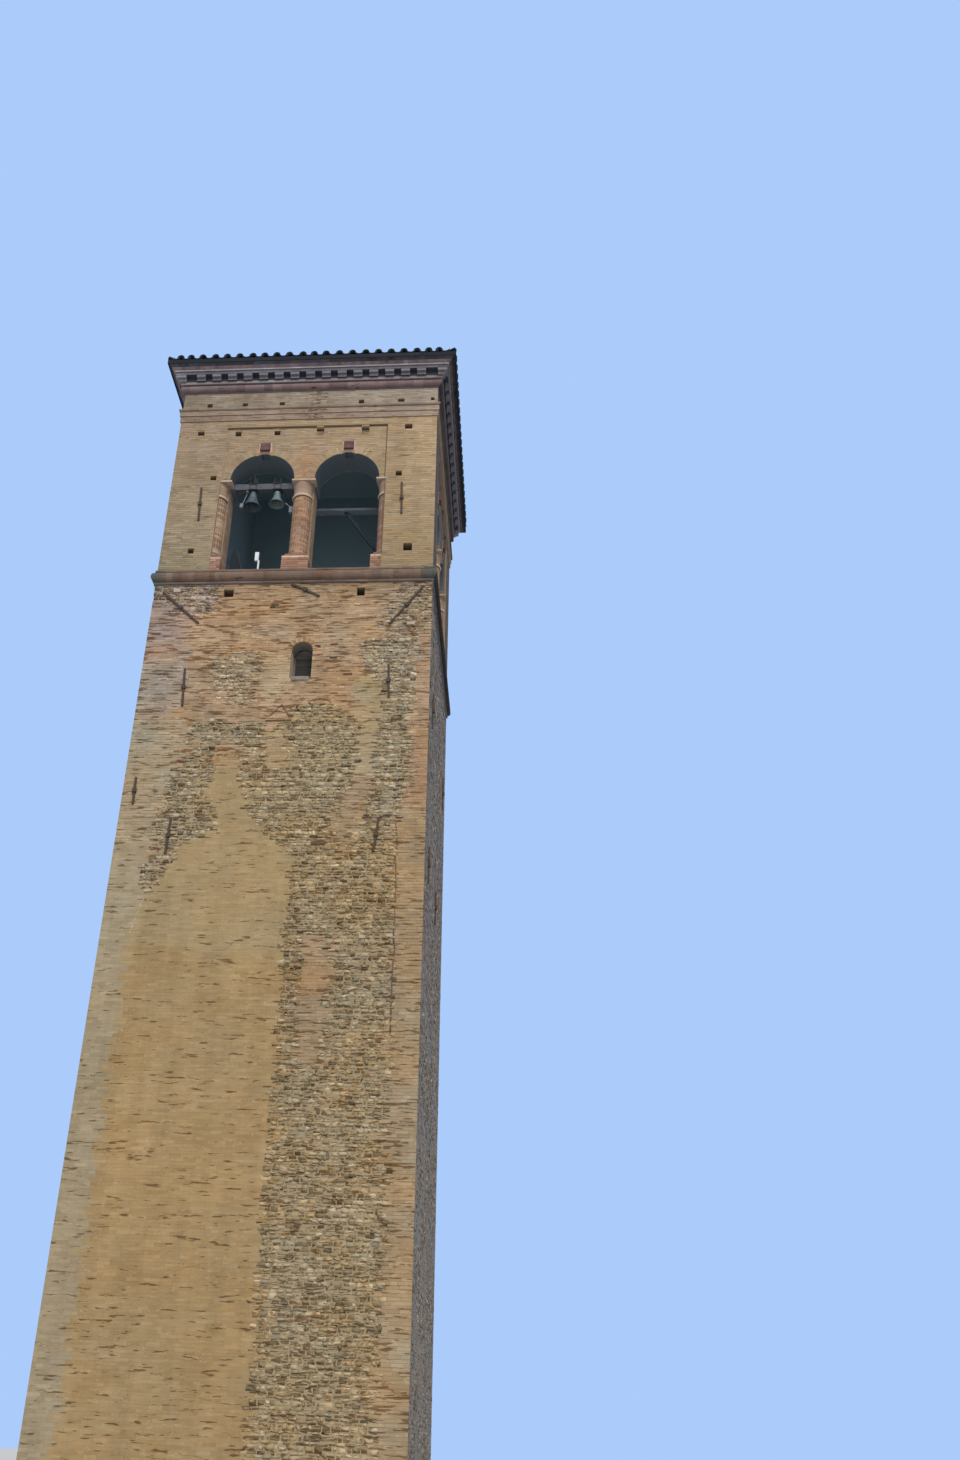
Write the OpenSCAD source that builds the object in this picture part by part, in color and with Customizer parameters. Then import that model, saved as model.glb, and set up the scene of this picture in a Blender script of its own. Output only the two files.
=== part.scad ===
// Square brick bell tower with twin arched belfry openings on each side.
// Millimetres, Z up, ground at z = 0, origin at the centre of the plan.
// The front faces -Y. Face 0 is the front, 1 the right, 2 the back, 3 the left.

/* [Shaft] */
// Outer width of the square tower
tower_w = 7200; // [6800:50:7600]
// Thickness of the shaft walls
shaft_t = 1000; // [900:10:1200]
// Height of the shaft walls, up to the underside of the string course
shaft_h = 20630; // [18000:10:22000]

/* [Slit window] */
// Clear width of the round headed slit window
slit_w = 530; // [300:10:700]
// Height of the slit window from its sill to the crown of its head
slit_h = 1030; // [700:10:1400]
// Distance of the slit window from the middle of the face
slit_x = 405; // [-900:5:900]
// Depth of the slit window's sill below the top of the shaft
slit_drop = 2820; // [2700:10:6000]
// Width of the sill stone
slit_sill_w = 440; // [300:10:500]
// Height of the sill stone
slit_sill_h = 85; // [50:5:120]
// Length of the sill stone that lies in the wall
slit_sill_in = 300; // [150:10:350]
// Projection of the sill stone
slit_sill_out = 25; // [10:5:60]
// Distance of the window frame behind the face
slit_frame_in = 380; // [100:10:600]
// Width of the window frame's members
slit_frame_w = 55; // [30:5:90]

/* [String course] */
// Height of the whole string course
string_h = 440; // [400:10:480]
// Height of its top and bottom fillets
string_fillet_h = 60; // [40:5:70]
// Projection of the fillets
string_fillet_out = 45; // [20:5:80]
// Projection of the roll
string_roll_out = 130; // [80:5:150]

/* [Belfry] */
// Thickness of the belfry walls
belfry_t = 850; // [800:10:900]
// Height from the sill to the springing of the arches
pier_h = 3010; // [2800:10:3300]
// Radius of the arches
arch_r = 885; // [800:5:900]
// Places of the left and the right arch's centre along the face
arch_xs = [-1125, 1200];
// Height of the arches' centres above the springing
arch_stilt = 40; // [0:5:80]
// Setback of the left jamb, and of the centre pier's right side, from the arches' ends
jamb_back = [40, 25];
// Height of the arch wall above the springing
arch_wall_h = 2110; // [1900:10:2400]
// Width of the shallow panel round the twin arches
panel_w = 4500; // [4400:10:4600]
// Height of the panel above the springing
panel_top = 1880; // [1500:10:1885]
// Depth of the panel
panel_d = 60; // [30:5:80]
// Thickness of the belfry floor
floor_t = 200; // [120:10:300]

/* [Columns] */
// Radius of the half round columns
column_r = 245; // [200:5:250]
// Distance of a column's axis behind the face
column_in = 305; // [305:5:320]
// Distance of a jamb column's axis from the middle of the face
respond_x = 2330; // [2320:5:2340]
// Half width of a column's base block
base_half = 350; // [330:5:400]
// Projection of a base block beyond the face
base_out = 20; // [0:5:40]
// Height of a base, block and splayed top together
base_h = 530; // [400:10:600]
// Height of the splayed top of a base
base_splay_h = 100; // [60:10:160]
// Radius of the ring under a capital
ring_r = 278; // [260:2:290]
// Height of that ring
ring_h = 60; // [40:5:80]
// Height of a capital above its ring
capital_h = 410; // [300:10:460]
// Radius of a capital at its top
capital_top_r = 288; // [270:2:300]
// Thickness of an impost slab
impost_h = 50; // [40:5:80]
// Overhang of an impost into an opening beyond the arch's end, at the jambs and at the pier
impost_outs = [70, 45];

/* [Keystones] */
// Width of a keystone block
key_w = 270; // [240:10:320]
// Height of a keystone block
key_h = 240; // [200:10:300]
// Height of its underside above the springing
key_z = 1030; // [1010:5:1080]
// Distance that a keystone reaches into the wall
key_in = 180; // [100:10:300]
// Projection of a keystone beyond the face
key_out = 20; // [5:5:40]
// Width of the notch in the arch under the keystone
notch_w = 210; // [150:10:240]
// Height of the notch's top above the springing
notch_top = 985; // [950:5:1000]
// Depth of the notch behind the face
notch_d = 300; // [150:10:400]

/* [Entablature] */
// Heights of the architrave's two bands and its top roll
architrave_heights = [190, 170, 90];
// Projections of the same three
architrave_outs = [30, 55, 100];
// Height of the plain frieze
frieze_h = 600; // [500:10:700]
// Heights of the bed mould's fillet, roll and upper fillet
bed_heights = [30, 220, 86];
// Projections of the bed mould's fillet, roll and upper fillet
bed_outs = [30, 125, 140];
// Height of the dentil course
dentil_h = 170; // [140:10:200]
// Width of a dentil
dentil_w = 250; // [200:5:280]
// Spacing of the dentils
dentil_pitch = 450; // [440:1:455]
// Projections of the dentils' lower and upper steps
dentil_outs = [205, 275];
// Heights of the crown's fascia, its fillet and its wave
crown_heights = [90, 54, 110];
// Projections of the crown's fascia, its fillet and its wave
crown_outs = [280, 315, 470];

/* [Roof] */
// Slope of the roof in degrees
roof_pitch = 20; // [15:1:25]
// Overhang of the eaves beyond the walls
eave_out = 540; // [500:10:600]
// Vertical thickness of boards and pan tiles
roof_t = 130; // [100:10:160]
// Radius of the hip capping
hip_r = 110; // [80:5:140]
// Distance from the eaves' corner to the end of the hip capping
hip_back = 430; // [200:10:600]
// Height of the round cap where the hips meet
hip_cap_h = 120; // [80:5:200]

/* [Bells] */
// Width and height of the bell beam
bell_beam = [180, 190];
// Distance of the bell beam's middle behind the face
bell_in = 505; // [480:5:530]
// Place along the beam, mouth radius and height of the left bell
bell_left_dims = [-1430, 242, 500];
// The same for the right bell
bell_right_dims = [-760, 219, 411];
// Waist as a share of the mouth and hollowness of the flare, left bell
bell_left_shape = [0.40, 1.5];
// The same for the right bell
bell_right_shape = [0.42, 2.1];
// Thickness of a bell's wall as a share of its mouth radius
bell_wall = 0.08; // [0.06:0.01:0.1]
// Height of a bell's shoulder as a share of its height
bell_shoulder = 0.86; // [0.8:0.01:0.92]
// Length of the hanger between the beam's plate and a bell
hanger_h = 40; // [30:5:120]
// Radius of a hanger's middle bolt, radius of its two side straps and their distance from the middle
hanger_dims = [30, 14, 36];
// Thickness of the clamp plates over and under the beam
plate_t = 12; // [8:1:16]
// Half width of the clamp plates
plate_half = 125; // [115:5:140]
// Radius of the clamp rods
rod_r = 11; // [8:1:14]
// Distance of the clamp rods from the bell's middle along the beam
rod_x = 88; // [70:2:100]
// Height of the clamp rods above the upper plate
rod_rise = 150; // [40:10:200]
// Height, radius and head length of the lever that stands on the left bell's clamp
lever_dims = [400, 16, 130];

/* [Bell hammers] */
// Places of the left hammer's pivot and of its head from the left bell's middle
hammer_left_xs = [-160, -290];
// Heights of the left hammer's pivot and head under the springing
hammer_left_drops = [30, 500];
// Width, depth and height of the left hammer's pivot block
hammer_pivot = [60, 110, 60];
// Width, depth and height of its head
hammer_head = [90, 80, 130];
// Radius of the hammers' levers
lever_r = 13; // [8:1:18]
// Width, depth and height of the right hammer's case
hammer_case = [150, 100, 200];
// Depth of that case's underside below the springing
hammer_case_drop = 780; // [700:10:900]
// Place of the right hammer's round head from the right bell's middle, and its depth below the springing
hammer_ball_at = [272, 455];
// Radius of that head
hammer_ball_r = 24; // [15:1:30]

/* [Timbers] */
// Height and depth of the plank across the right opening
plank = [78, 217];
// Depth of the plank's underside below the springing
plank_drop = 452; // [300:1:700]
// Place of the plank's left end behind the centre pier
plank_x0 = -200; // [-240:10:0]
// Place of the brace's head along the plank
brace_top_x = 1060; // [600:10:1500]
// Length of the brace's cut along the plank
brace_w = 100; // [60:5:140]
// Thickness of the brace
brace_t = 70; // [50:5:100]
// Height of the brace's foot on the wall, above the belfry sill
brace_foot = 23; // [0:1:200]
// Height of the brace's cut on the wall
brace_foot_h = 150; // [80:5:200]

/* [Sill lamp] */
// Place of the lamp's post along the face, its distance behind the face and its radius
lamp_post = [-1005, 200, 25];
// Height of the post up to the case
lamp_post_h = 430; // [300:10:600]
// Width, depth and height of the lamp's case
lamp_case = [100, 60, 270];
// Distance that the case lies to the left of the post
lamp_case_x = 55; // [0:5:70]

/* [Wall irons] */
// Width of the iron bars of the wall anchors
iron_w = 50; // [40:5:70]
// Thickness of the same bars
iron_t = 45; // [30:5:60]
// Length, thickness and height of the eye in the middle of a bar
iron_eye = [95, 70, 95];

/* [Hidden] */
$fn = 48;
half = tower_w / 2;
far = tower_w;
half_panel = panel_w / 2;
inner_shaft = half - shaft_t;
inner_belfry = half - belfry_t;
slit_z = shaft_h - slit_drop;
sill_z = shaft_h + string_h;
spring_z = sill_z + pier_h;
impost_z = spring_z - impost_h;
capital_z = impost_z - capital_h - ring_h;
base_top = sill_z + base_h;
column_y = -half + column_in;
left_arch = [arch_xs[0] - arch_r, arch_xs[0] + arch_r];
right_arch = [arch_xs[1] - arch_r, arch_xs[1] + arch_r];
architrave_z = spring_z + arch_wall_h;
frieze_z = architrave_z + architrave_heights[0] + architrave_heights[1] + architrave_heights[2];
bed_z = frieze_z + frieze_h;
dentil_z = bed_z + bed_heights[0] + bed_heights[1] + bed_heights[2];
dentil_half_count = floor((half - dentil_w) / dentil_pitch);
crown_z = dentil_z + dentil_h;
crown_top = crown_z + crown_heights[0] + crown_heights[1] + crown_heights[2];
roof_rise = tan(roof_pitch);
apex_z = crown_top + (crown_outs[2] + half) * roof_rise + roof_t;

// How far a cut runs past the face that it starts from
cut = 10;
// How far a roll's axis lies behind the face that it rises from
roll_tuck = 8;

// Putlog holes, each [x, height above the level named, width, height of the hole]
hole_d = 300;
belfry_holes = [
    [-2990, 1690, 190, 150], [-1940, 1690, 165, 150], [-840, 1690, 165, 150],
    [370, 1730, 200, 160], [1630, 1725, 205, 165], [2830, 1760, 205, 165]
];
spring_holes = [[-2465, 85, 165, 150], [2615, 110, 165, 160]];
sill_holes = [[-2805, 650, 160, 160], [2935, 655, 230, 235]];
shaft_holes = [[-1645, -285, 260, 225], [1785, -295, 205, 245]];
frieze_holes = [
    [-2850, 160, 150, 130], [-1840, 160, 150, 110], [-780, 165, 150, 110],
    [1470, 160, 150, 130], [2590, 165, 180, 110], [3470, 190, 100, 100]
];

// Wall anchors on the front: [x, height above the shaft's top] of the two ends of each bar
front_irons = [
    [[-2710, 2090], [-2750, 3190]], [[2740, 2180], [2710, 3230]],
    [[-3360, -240], [-2320, -1210]], [[-30, -30], [730, -430]],
    [[3400, -150], [2560, -1300]],
    [[-2450, -3620], [-2510, -2550]], [[2630, -3420], [2590, -2500]],
    [[-3310, -6260], [-3330, -5570]], [[-2370, -7530], [-2350, -6620]],
    [[2440, -7460], [2530, -6620]]
];
// Wall anchors on the two sides, in the same form
side_irons = [
    [[-2400, -7730], [-2400, -6830]], [[400, -7730], [400, -6830]],
    [[-2400, -3630], [-2400, -2630]], [[2400, -3630], [2400, -2630]]
];

module on_face(k) { rotate([0, 0, 90 * k]) children(); }

// A block on face 0: x from x0 to x1, depths d0 to d1 behind the face, heights z0 to z1
module block(x0, x1, d0, d1, z0, z1) {
    translate([x0, -half + d0, z0]) cube([x1 - x0, d1 - d0, z1 - z0]);
}

// The wedge of plan that belongs to face 0, between the two diagonals
module face_wedge(z0, h) {
    translate([0, 0, z0]) linear_extrude(h)
        polygon([[0, 0], [-far, -far], [far, -far]]);
}

// A bar along face 0 with the given outline (projection, height), mitred at the corners
module mitred_bar(z0, h) {
    intersection() {
        face_wedge(z0, h);
        translate([far, -half, z0]) rotate([90, 0, -90]) linear_extrude(2 * far) children();
    }
}

// The same bar on all four faces, joined at the mitres into one course
module course(z0, h) {
    for (k = [0:3]) on_face(k) mitred_bar(z0, h) children();
}

// A rectangle of an outline, from the wall's inner face out to a projection
module band(z0, h, out) { translate([-belfry_t, z0]) square([belfry_t + out, h]); }

// A list of putlog holes cut into face 0, their heights counted from z
module holes(list, z) {
    for (h = list) block(h[0] - h[2] / 2, h[0] + h[2] / 2, -cut, hole_d,
                         z + h[1] - h[3] / 2, z + h[1] + h[3] / 2);
}

// Shaft walls

module slit_opening(grow = 0) {
    r = slit_w / 2 - grow;
    translate([slit_x, 0, slit_z + slit_h - slit_w / 2]) rotate([90, 0, 0])
        cylinder(r = r, h = 2 * far, center = true);
    translate([slit_x - r, -far, slit_z + grow])
        cube([2 * r, 2 * far, slit_h - slit_w / 2 - grow]);
}

module slit_sill() {
    block(slit_x - slit_sill_w / 2, slit_x + slit_sill_w / 2, -slit_sill_out, slit_sill_in,
          slit_z - slit_sill_h, slit_z);
}

module wide_shaft_wall() {
    color("tan") difference() {
        block(-half, half, 0, shaft_t, 0, shaft_h);
        slit_opening();
        slit_sill();
        holes(shaft_holes, shaft_h);
    }
}

module narrow_shaft_wall() {
    color("tan") difference() {
        block(-inner_shaft, inner_shaft, 0, shaft_t, 0, shaft_h);
        holes(shaft_holes, shaft_h);
    }
}

module slit_frame() {
    color("saddlebrown") intersection() {
        block(slit_x - slit_w, slit_x + slit_w, slit_frame_in, slit_frame_in + slit_frame_w,
              slit_z, slit_z + slit_h);
        difference() {
            slit_opening();
            slit_opening(slit_frame_w);
        }
    }
}

// String course: a course as thick as the belfry wall, with two fillets and a roll

module string_outline() {
    roll_r = (string_h - 2 * string_fillet_h) / 2;
    band(0, string_h, 0);
    band(0, string_fillet_h, string_fillet_out);
    band(string_h - string_fillet_h, string_fillet_h, string_fillet_out);
    translate([string_roll_out - roll_r, string_h / 2]) circle(r = roll_r);
}

module string_course() {
    color("rosybrown") course(shaft_h, string_h) string_outline();
}

// The floor lies on the ledge where the thinner belfry wall leaves the shaft wall

module belfry_floor() {
    color("dimgray") translate([-inner_belfry, -inner_belfry, shaft_h])
        cube([2 * inner_belfry, 2 * inner_belfry, floor_t]);
}

// Belfry piers

// The leg at the left end of face 0: the wall beside the panel, and the jamb behind the column
module left_leg() {
    block(-half, -half_panel, 0, belfry_t, sill_z, spring_z);
    block(-half_panel, left_arch[0] - jamb_back[0], column_in, belfry_t, sill_z, impost_z);
}

// The leg at its right end
module right_leg() {
    block(half_panel, half, 0, belfry_t, sill_z, spring_z);
    block(right_arch[1], half_panel, column_in, belfry_t, sill_z, impost_z);
}

// The front left corner pier, or the one k quarter turns from it
module corner_pier(k) {
    color("burlywood") on_face(k) difference() {
        union() {
            left_leg();
            on_face(3) right_leg();
        }
        holes(sill_holes, sill_z);
        on_face(3) holes(sill_holes, sill_z);
    }
}

module centre_pier() {
    color("burlywood")
        block(left_arch[1], right_arch[0] - jamb_back[1], column_in, belfry_t, sill_z, impost_z);
}

// Half columns: one against the centre pier and one in each jamb of a face

// Keeps what lies between the panel's edges and in front of a depth
module keep_front(depth) {
    intersection() {
        block(-half_panel, half_panel, -base_half, depth, sill_z - cut, spring_z + cut);
        children();
    }
}

module at_columns() {
    for (x = [-respond_x, 0, respond_x]) translate([x, column_y, 0]) children();
}

module column_base() {
    block_h = base_h - base_splay_h;
    run = column_in + base_out;
    translate([-base_half, -run, sill_z]) cube([2 * base_half, run, block_h]);
    translate([0, 0, sill_z + block_h]) rotate([90, 0, 0])
        linear_extrude(run - base_splay_h / 2)
            polygon([[-base_half, 0], [base_half, 0],
                     [column_r + base_out, base_splay_h], [-column_r - base_out, base_splay_h]]);
}

module column_bases() {
    color("indianred") for (k = [0:3]) on_face(k)
        keep_front(column_in) at_columns() column_base();
}

module column_shafts() {
    color("sandybrown") for (k = [0:3]) on_face(k)
        keep_front(column_in) at_columns()
            translate([0, 0, base_top]) cylinder(r = column_r, h = capital_z - base_top);
}

// Radius of the capital's hollow flare at a height from 0 to 1 above the ring
function flare_r(t) = column_r + (capital_top_r - column_r) * (1 - cos(90 * t));

module column_capitals() {
    steps = 8;
    color("peru") for (k = [0:3]) on_face(k)
        keep_front(column_in) at_columns() translate([0, 0, capital_z]) {
            rotate_extrude() {
                square([ring_r - ring_h / 2, ring_h]);
                translate([ring_r - ring_h / 2, ring_h / 2]) circle(r = ring_h / 2);
            }
            translate([0, 0, ring_h]) rotate_extrude() polygon(concat(
                [[0, 0]],
                [for (i = [0:steps]) [flare_r(i / steps), capital_h * i / steps]],
                [[0, capital_h]]));
        }
}

module impost(x0, x1) { block(x0, x1, 0, belfry_t, impost_z, spring_z); }

module imposts() {
    color("linen") for (k = [0:3]) on_face(k) {
        impost(-half_panel, left_arch[0] + impost_outs[0]);
        impost(left_arch[1] - impost_outs[1], right_arch[0] + impost_outs[1]);
        impost(right_arch[1] - impost_outs[0], half_panel);
    }
}

// Arch walls: from the springing to the architrave, with two arches and the panel's head

module key_block(x) {
    block(x - key_w / 2, x + key_w / 2, -key_out, key_in, spring_z + key_z, spring_z + key_z + key_h);
}

module arch_cuts() {
    for (x = arch_xs) {
        translate([x, -half + belfry_t / 2, spring_z + arch_stilt]) rotate([90, 0, 0])
            cylinder(r = arch_r, h = belfry_t + 2 * cut, center = true);
        block(x - arch_r, x + arch_r, -cut, belfry_t + cut, spring_z - cut, spring_z + arch_stilt);
        block(x - notch_w / 2, x + notch_w / 2, -cut, notch_d,
              spring_z + arch_stilt + arch_r / 2, spring_z + notch_top);
        key_block(x);
    }
    block(-half_panel, half_panel, -cut, panel_d, spring_z - cut, spring_z + panel_top);
    holes(belfry_holes, spring_z);
    holes(spring_holes, spring_z);
}

module arch_wall(half_length) {
    color("burlywood") difference() {
        block(-half_length, half_length, 0, belfry_t, spring_z, architrave_z);
        arch_cuts();
    }
}

module keystones() {
    color("brown") for (k = [0:3]) on_face(k) for (x = arch_xs) key_block(x);
}

// Entablature: architrave, frieze, bed mould, dentil course and crown

module architrave() {
    low = architrave_heights[0];
    mid = architrave_heights[1];
    top = architrave_heights[2];
    color("burlywood") course(architrave_z, low + mid + top) {
        union() {
            band(0, low, architrave_outs[0]);
            band(low, mid, architrave_outs[1]);
            band(low + mid, top, architrave_outs[2] - top / 2 + roll_tuck);
            translate([architrave_outs[2] - top / 2, low + mid + top / 2]) circle(d = top);
        }
    }
}

module frieze() {
    color("khaki") difference() {
        course(frieze_z, frieze_h) band(0, frieze_h, 0);
        for (k = [0:3]) on_face(k) holes(frieze_holes, frieze_z);
    }
}

module cornice_bed_mould() {
    roll = bed_heights[1];
    color("rosybrown") course(bed_z, dentil_z - bed_z) {
        union() {
            band(0, bed_heights[0], bed_outs[0]);
            band(bed_heights[0], roll, bed_outs[1] - roll / 2 + roll_tuck);
            band(bed_heights[0] + roll, bed_heights[2], bed_outs[2]);
            translate([bed_outs[1] - roll / 2, bed_heights[0] + roll / 2]) circle(d = roll);
        }
    }
}

module dentils() {
    for (i = [-dentil_half_count:dentil_half_count])
        translate([i * dentil_pitch - dentil_w / 2, 0, 0]) {
            translate([0, -half - dentil_outs[0], dentil_z])
                cube([dentil_w, dentil_outs[0], dentil_h / 2]);
            translate([0, -half - dentil_outs[1], dentil_z + dentil_h / 2])
                cube([dentil_w, dentil_outs[1], dentil_h / 2]);
        }
}

module dentil_course() {
    color("rosybrown") {
        course(dentil_z, dentil_h) band(0, dentil_h, bed_outs[2]);
        for (k = [0:3]) on_face(k) dentils();
    }
}

// The crown's wave: hollow over round, from the fillet's edge out to the roof boards
wave_bulge = 0.11;
function wave(t) = [crown_outs[1] + (crown_outs[2] - crown_outs[1]) * t,
                    crown_heights[0] + crown_heights[1]
                    + crown_heights[2] * (t - wave_bulge * sin(360 * t))];

module crown_outline() {
    wave_steps = 10;
    top = crown_top - crown_z;
    polygon(concat(
        [[-belfry_t, 0], [crown_outs[0], 0], [crown_outs[0], crown_heights[0]],
         [crown_outs[1], crown_heights[0]]],
        [for (i = [0:wave_steps]) wave(i / wave_steps)],
        [[-belfry_t, top + (crown_outs[2] + belfry_t) * roof_rise]]));
}

module cornice_crown() {
    wall_head = crown_top - crown_z + (crown_outs[2] + belfry_t) * roof_rise;
    color("rosybrown") course(crown_z, wall_head) crown_outline();
}

// Roof: four sloping slabs of boards and pan tiles, mitred at the hips

// Height of the slabs' underside at a projection beyond the wall
function under_z(out) = crown_top + (crown_outs[2] - out) * roof_rise;

module roof_slope() {
    color("darkslategray") mitred_bar(0, apex_z + cut) polygon([
        [eave_out, under_z(eave_out)], [eave_out, under_z(eave_out) + roof_t],
        [-half, under_z(-half) + roof_t], [-half, under_z(-half)]]);
}

module roof_body() {
    for (k = [0:3]) on_face(k) mitred_bar(0, apex_z + cut) polygon([
        [eave_out, shaft_h], [eave_out, under_z(eave_out) + roof_t],
        [-half, under_z(-half) + roof_t], [-half, shaft_h]]);
}

module roof_hips() {
    run = (half + eave_out) * sqrt(2);
    rise = (half + eave_out) * roof_rise;
    slope = atan(rise / run);
    color("darkslategray") difference() {
        union() {
            for (k = [0:3]) rotate([0, 0, 45 + 90 * k]) translate([0, 0, apex_z])
                rotate([0, 90 + slope, 0]) cylinder(r = hip_r, h = norm([run, rise]) - hip_back);
            translate([0, 0, apex_z - hip_cap_h]) cylinder(r = 1.6 * hip_r, h = hip_cap_h + hip_r);
        }
        roof_body();
    }
}

// Bells: the beam rests on the imposts of the front's left opening

module bell_beam() {
    reach = sqrt(pow(arch_r, 2) - pow(bell_beam[1] - arch_stilt, 2)) - 3;
    color("slategray") block(arch_xs[0] - reach, arch_xs[0] + reach, bell_in - bell_beam[0] / 2,
                             bell_in + bell_beam[0] / 2, spring_z, spring_z + bell_beam[1]);
}

module at_bell(dims) { translate([dims[0], -half + bell_in, spring_z]) children(); }

// A plate over and a plate under the beam, drawn together by four rods
module bell_clamp() {
    for (z = [-plate_t, bell_beam[1]])
        translate([-plate_half, -plate_half, z]) cube([2 * plate_half, 2 * plate_half, plate_t]);
    for (x = [-rod_x, rod_x]) for (y = [-1, 1])
        translate([x, y * (bell_beam[0] / 2 + rod_r + 4), -plate_t])
            cylinder(r = rod_r, h = bell_beam[1] + 2 * plate_t + rod_rise);
}

// The upright lever with a short head that stands on the left clamp
module clamp_lever() {
    translate([0, 0, bell_beam[1]]) {
        cylinder(r = lever_dims[1], h = lever_dims[0]);
        translate([-lever_dims[2] / 2, -lever_dims[1], lever_dims[0] - 2 * lever_dims[1]])
            cube([lever_dims[2], 2 * lever_dims[1], 2 * lever_dims[1]]);
    }
}

module bell_clamps() {
    color("dimgray") {
        at_bell(bell_left_dims) {
            bell_clamp();
            clamp_lever();
        }
        at_bell(bell_right_dims) bell_clamp();
    }
}

// Radius of a bell's outside at a height from 0 at the mouth to 1 at the shoulder
function bell_r(mouth, shape, t) = mouth * (shape[0] + (1 - shape[0]) * pow(1 - t, shape[1]));

// Outline of a bell from the mouth up, with a rounded shoulder, and its hollow inside
module bell(dims, shape) {
    mouth = dims[1];
    h = dims[2];
    wall = bell_wall * mouth;
    steps = 14;
    neck = bell_r(mouth, shape, 1);
    rotate_extrude() polygon(concat(
        [for (i = [0:steps]) [bell_r(mouth, shape, i / steps), bell_shoulder * h * i / steps]],
        [for (a = [15:15:75]) [neck * (0.5 + 0.5 * cos(a)),
                               h * (bell_shoulder + (1 - bell_shoulder) * sin(a))]],
        [[neck * 0.5, h], [0, h], [0, h * bell_shoulder]],
        [for (i = [steps:-1:0]) [bell_r(mouth, shape, i / steps) - wall,
                                 bell_shoulder * h * i / steps]]));
    translate([0, 0, h]) cylinder(r = hanger_dims[0], h = hanger_h);
    for (s = [-1, 1]) translate([s * hanger_dims[2], 0, h]) cylinder(r = hanger_dims[1], h = hanger_h);
}

module hung_bell(dims, shape) {
    at_bell(dims) translate([0, 0, -plate_t - hanger_h - dims[2]]) bell(dims, shape);
}

// Left hammer: a lever that hangs from the beam beside the left bell
module bell_hammer_left() {
    run = hammer_left_xs[1] - hammer_left_xs[0];
    drop = hammer_left_drops[1] - hammer_left_drops[0];
    color("silver") at_bell(bell_left_dims) {
        translate([hammer_left_xs[0] - hammer_pivot[0] / 2, -hammer_pivot[1] / 2, -hammer_pivot[2]])
            cube(hammer_pivot);
        translate([hammer_left_xs[0], 0, -hammer_left_drops[0]])
            rotate([0, 180 + atan2(-run, drop), 0]) cylinder(r = lever_r, h = norm([run, drop]));
        translate([hammer_left_xs[1] - hammer_head[0] / 2, -hammer_head[1] / 2,
                   -hammer_left_drops[1] - hammer_head[2] / 2]) cube(hammer_head);
    }
}

// Right hammer: a case on the centre pier, with an arm and a round head beside the right bell
module bell_hammer_right() {
    case_x = left_arch[1] - hammer_case[0];
    arm = [case_x + hammer_case[0] / 4, -hammer_case_drop + hammer_case[2] - lever_r];
    ball = [bell_right_dims[0] + hammer_ball_at[0], -hammer_ball_at[1]];
    color("silver") translate([0, -half + bell_in, spring_z]) {
        translate([case_x, -hammer_case[1] / 2, -hammer_case_drop]) cube(hammer_case);
        translate([arm[0], 0, arm[1]]) rotate([0, atan2(ball[0] - arm[0], ball[1] - arm[1]), 0])
            cylinder(r = lever_r, h = norm(ball - arm));
        translate([ball[0], 0, ball[1]]) rotate([0, 90, 0])
            cylinder(r = hammer_ball_r, h = 2 * hammer_ball_r, center = true);
    }
}

// Timbers behind the right opening

module cross_plank() {
    z = spring_z - plank_drop;
    color("lightslategray")
        block(plank_x0, inner_belfry, belfry_t, belfry_t + plank[1], z, z + plank[0]);
}

module timber_brace() {
    top = spring_z - plank_drop;
    foot = sill_z + brace_foot;
    color("gray") translate([0, -half + belfry_t + (plank[1] + brace_t) / 2, 0]) rotate([90, 0, 0])
        linear_extrude(brace_t)
            polygon([[brace_top_x, top], [brace_top_x + brace_w, top],
                     [inner_belfry, foot + brace_foot_h], [inner_belfry, foot]]);
}

// A small white lamp case on a post that stands on the front sill
module sill_lamp() {
    color("white") translate([lamp_post[0], -half + lamp_post[1], sill_z]) {
        cylinder(r = lamp_post[2], h = lamp_post_h + cut);
        translate([-lamp_case_x - lamp_case[0] / 2, -lamp_case[1] / 2, lamp_post_h])
            cube(lamp_case);
    }
}

// A wall anchor: an iron bar flat on face 0 between two points as in the lists above
module wall_iron(ends) {
    run = ends[1][0] - ends[0][0];
    rise = ends[1][1] - ends[0][1];
    translate([ends[0][0], -half - iron_t, shaft_h + ends[0][1]])
        rotate([0, -atan2(rise, run), 0]) {
            translate([0, 0, -iron_w / 2]) cube([norm([run, rise]), iron_t, iron_w]);
            translate([(norm([run, rise]) - iron_eye[0]) / 2, iron_t - iron_eye[1], -iron_eye[2] / 2])
                cube(iron_eye);
        }
}

module wall_anchors() {
    color("black") for (k = [0:3]) on_face(k)
        for (e = (k % 2 == 0) ? front_irons : side_irons) wall_iron(e);
}

wide_shaft_wall();  // shaft_front_wall
on_face(1) narrow_shaft_wall();  // shaft_right_wall
on_face(2) wide_shaft_wall();  // shaft_back_wall
on_face(3) narrow_shaft_wall();  // shaft_left_wall
color("gainsboro") for (k = [0, 2]) on_face(k) slit_sill();  // slit_window_sills
for (k = [0, 2]) on_face(k) slit_frame();  // slit_window_frames
string_course();
belfry_floor();
corner_pier(0);  // corner_pier_front_left
corner_pier(1);  // corner_pier_front_right
corner_pier(2);  // corner_pier_back_right
corner_pier(3);  // corner_pier_back_left
centre_pier();  // centre_pier_front
on_face(1) centre_pier();  // centre_pier_right
on_face(2) centre_pier();  // centre_pier_back
on_face(3) centre_pier();  // centre_pier_left
column_bases();
column_shafts();
column_capitals();
imposts();
arch_wall(half);  // arch_wall_front
on_face(1) arch_wall(inner_belfry);  // arch_wall_right
on_face(2) arch_wall(half);  // arch_wall_back
on_face(3) arch_wall(inner_belfry);  // arch_wall_left
keystones();
architrave();
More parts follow.
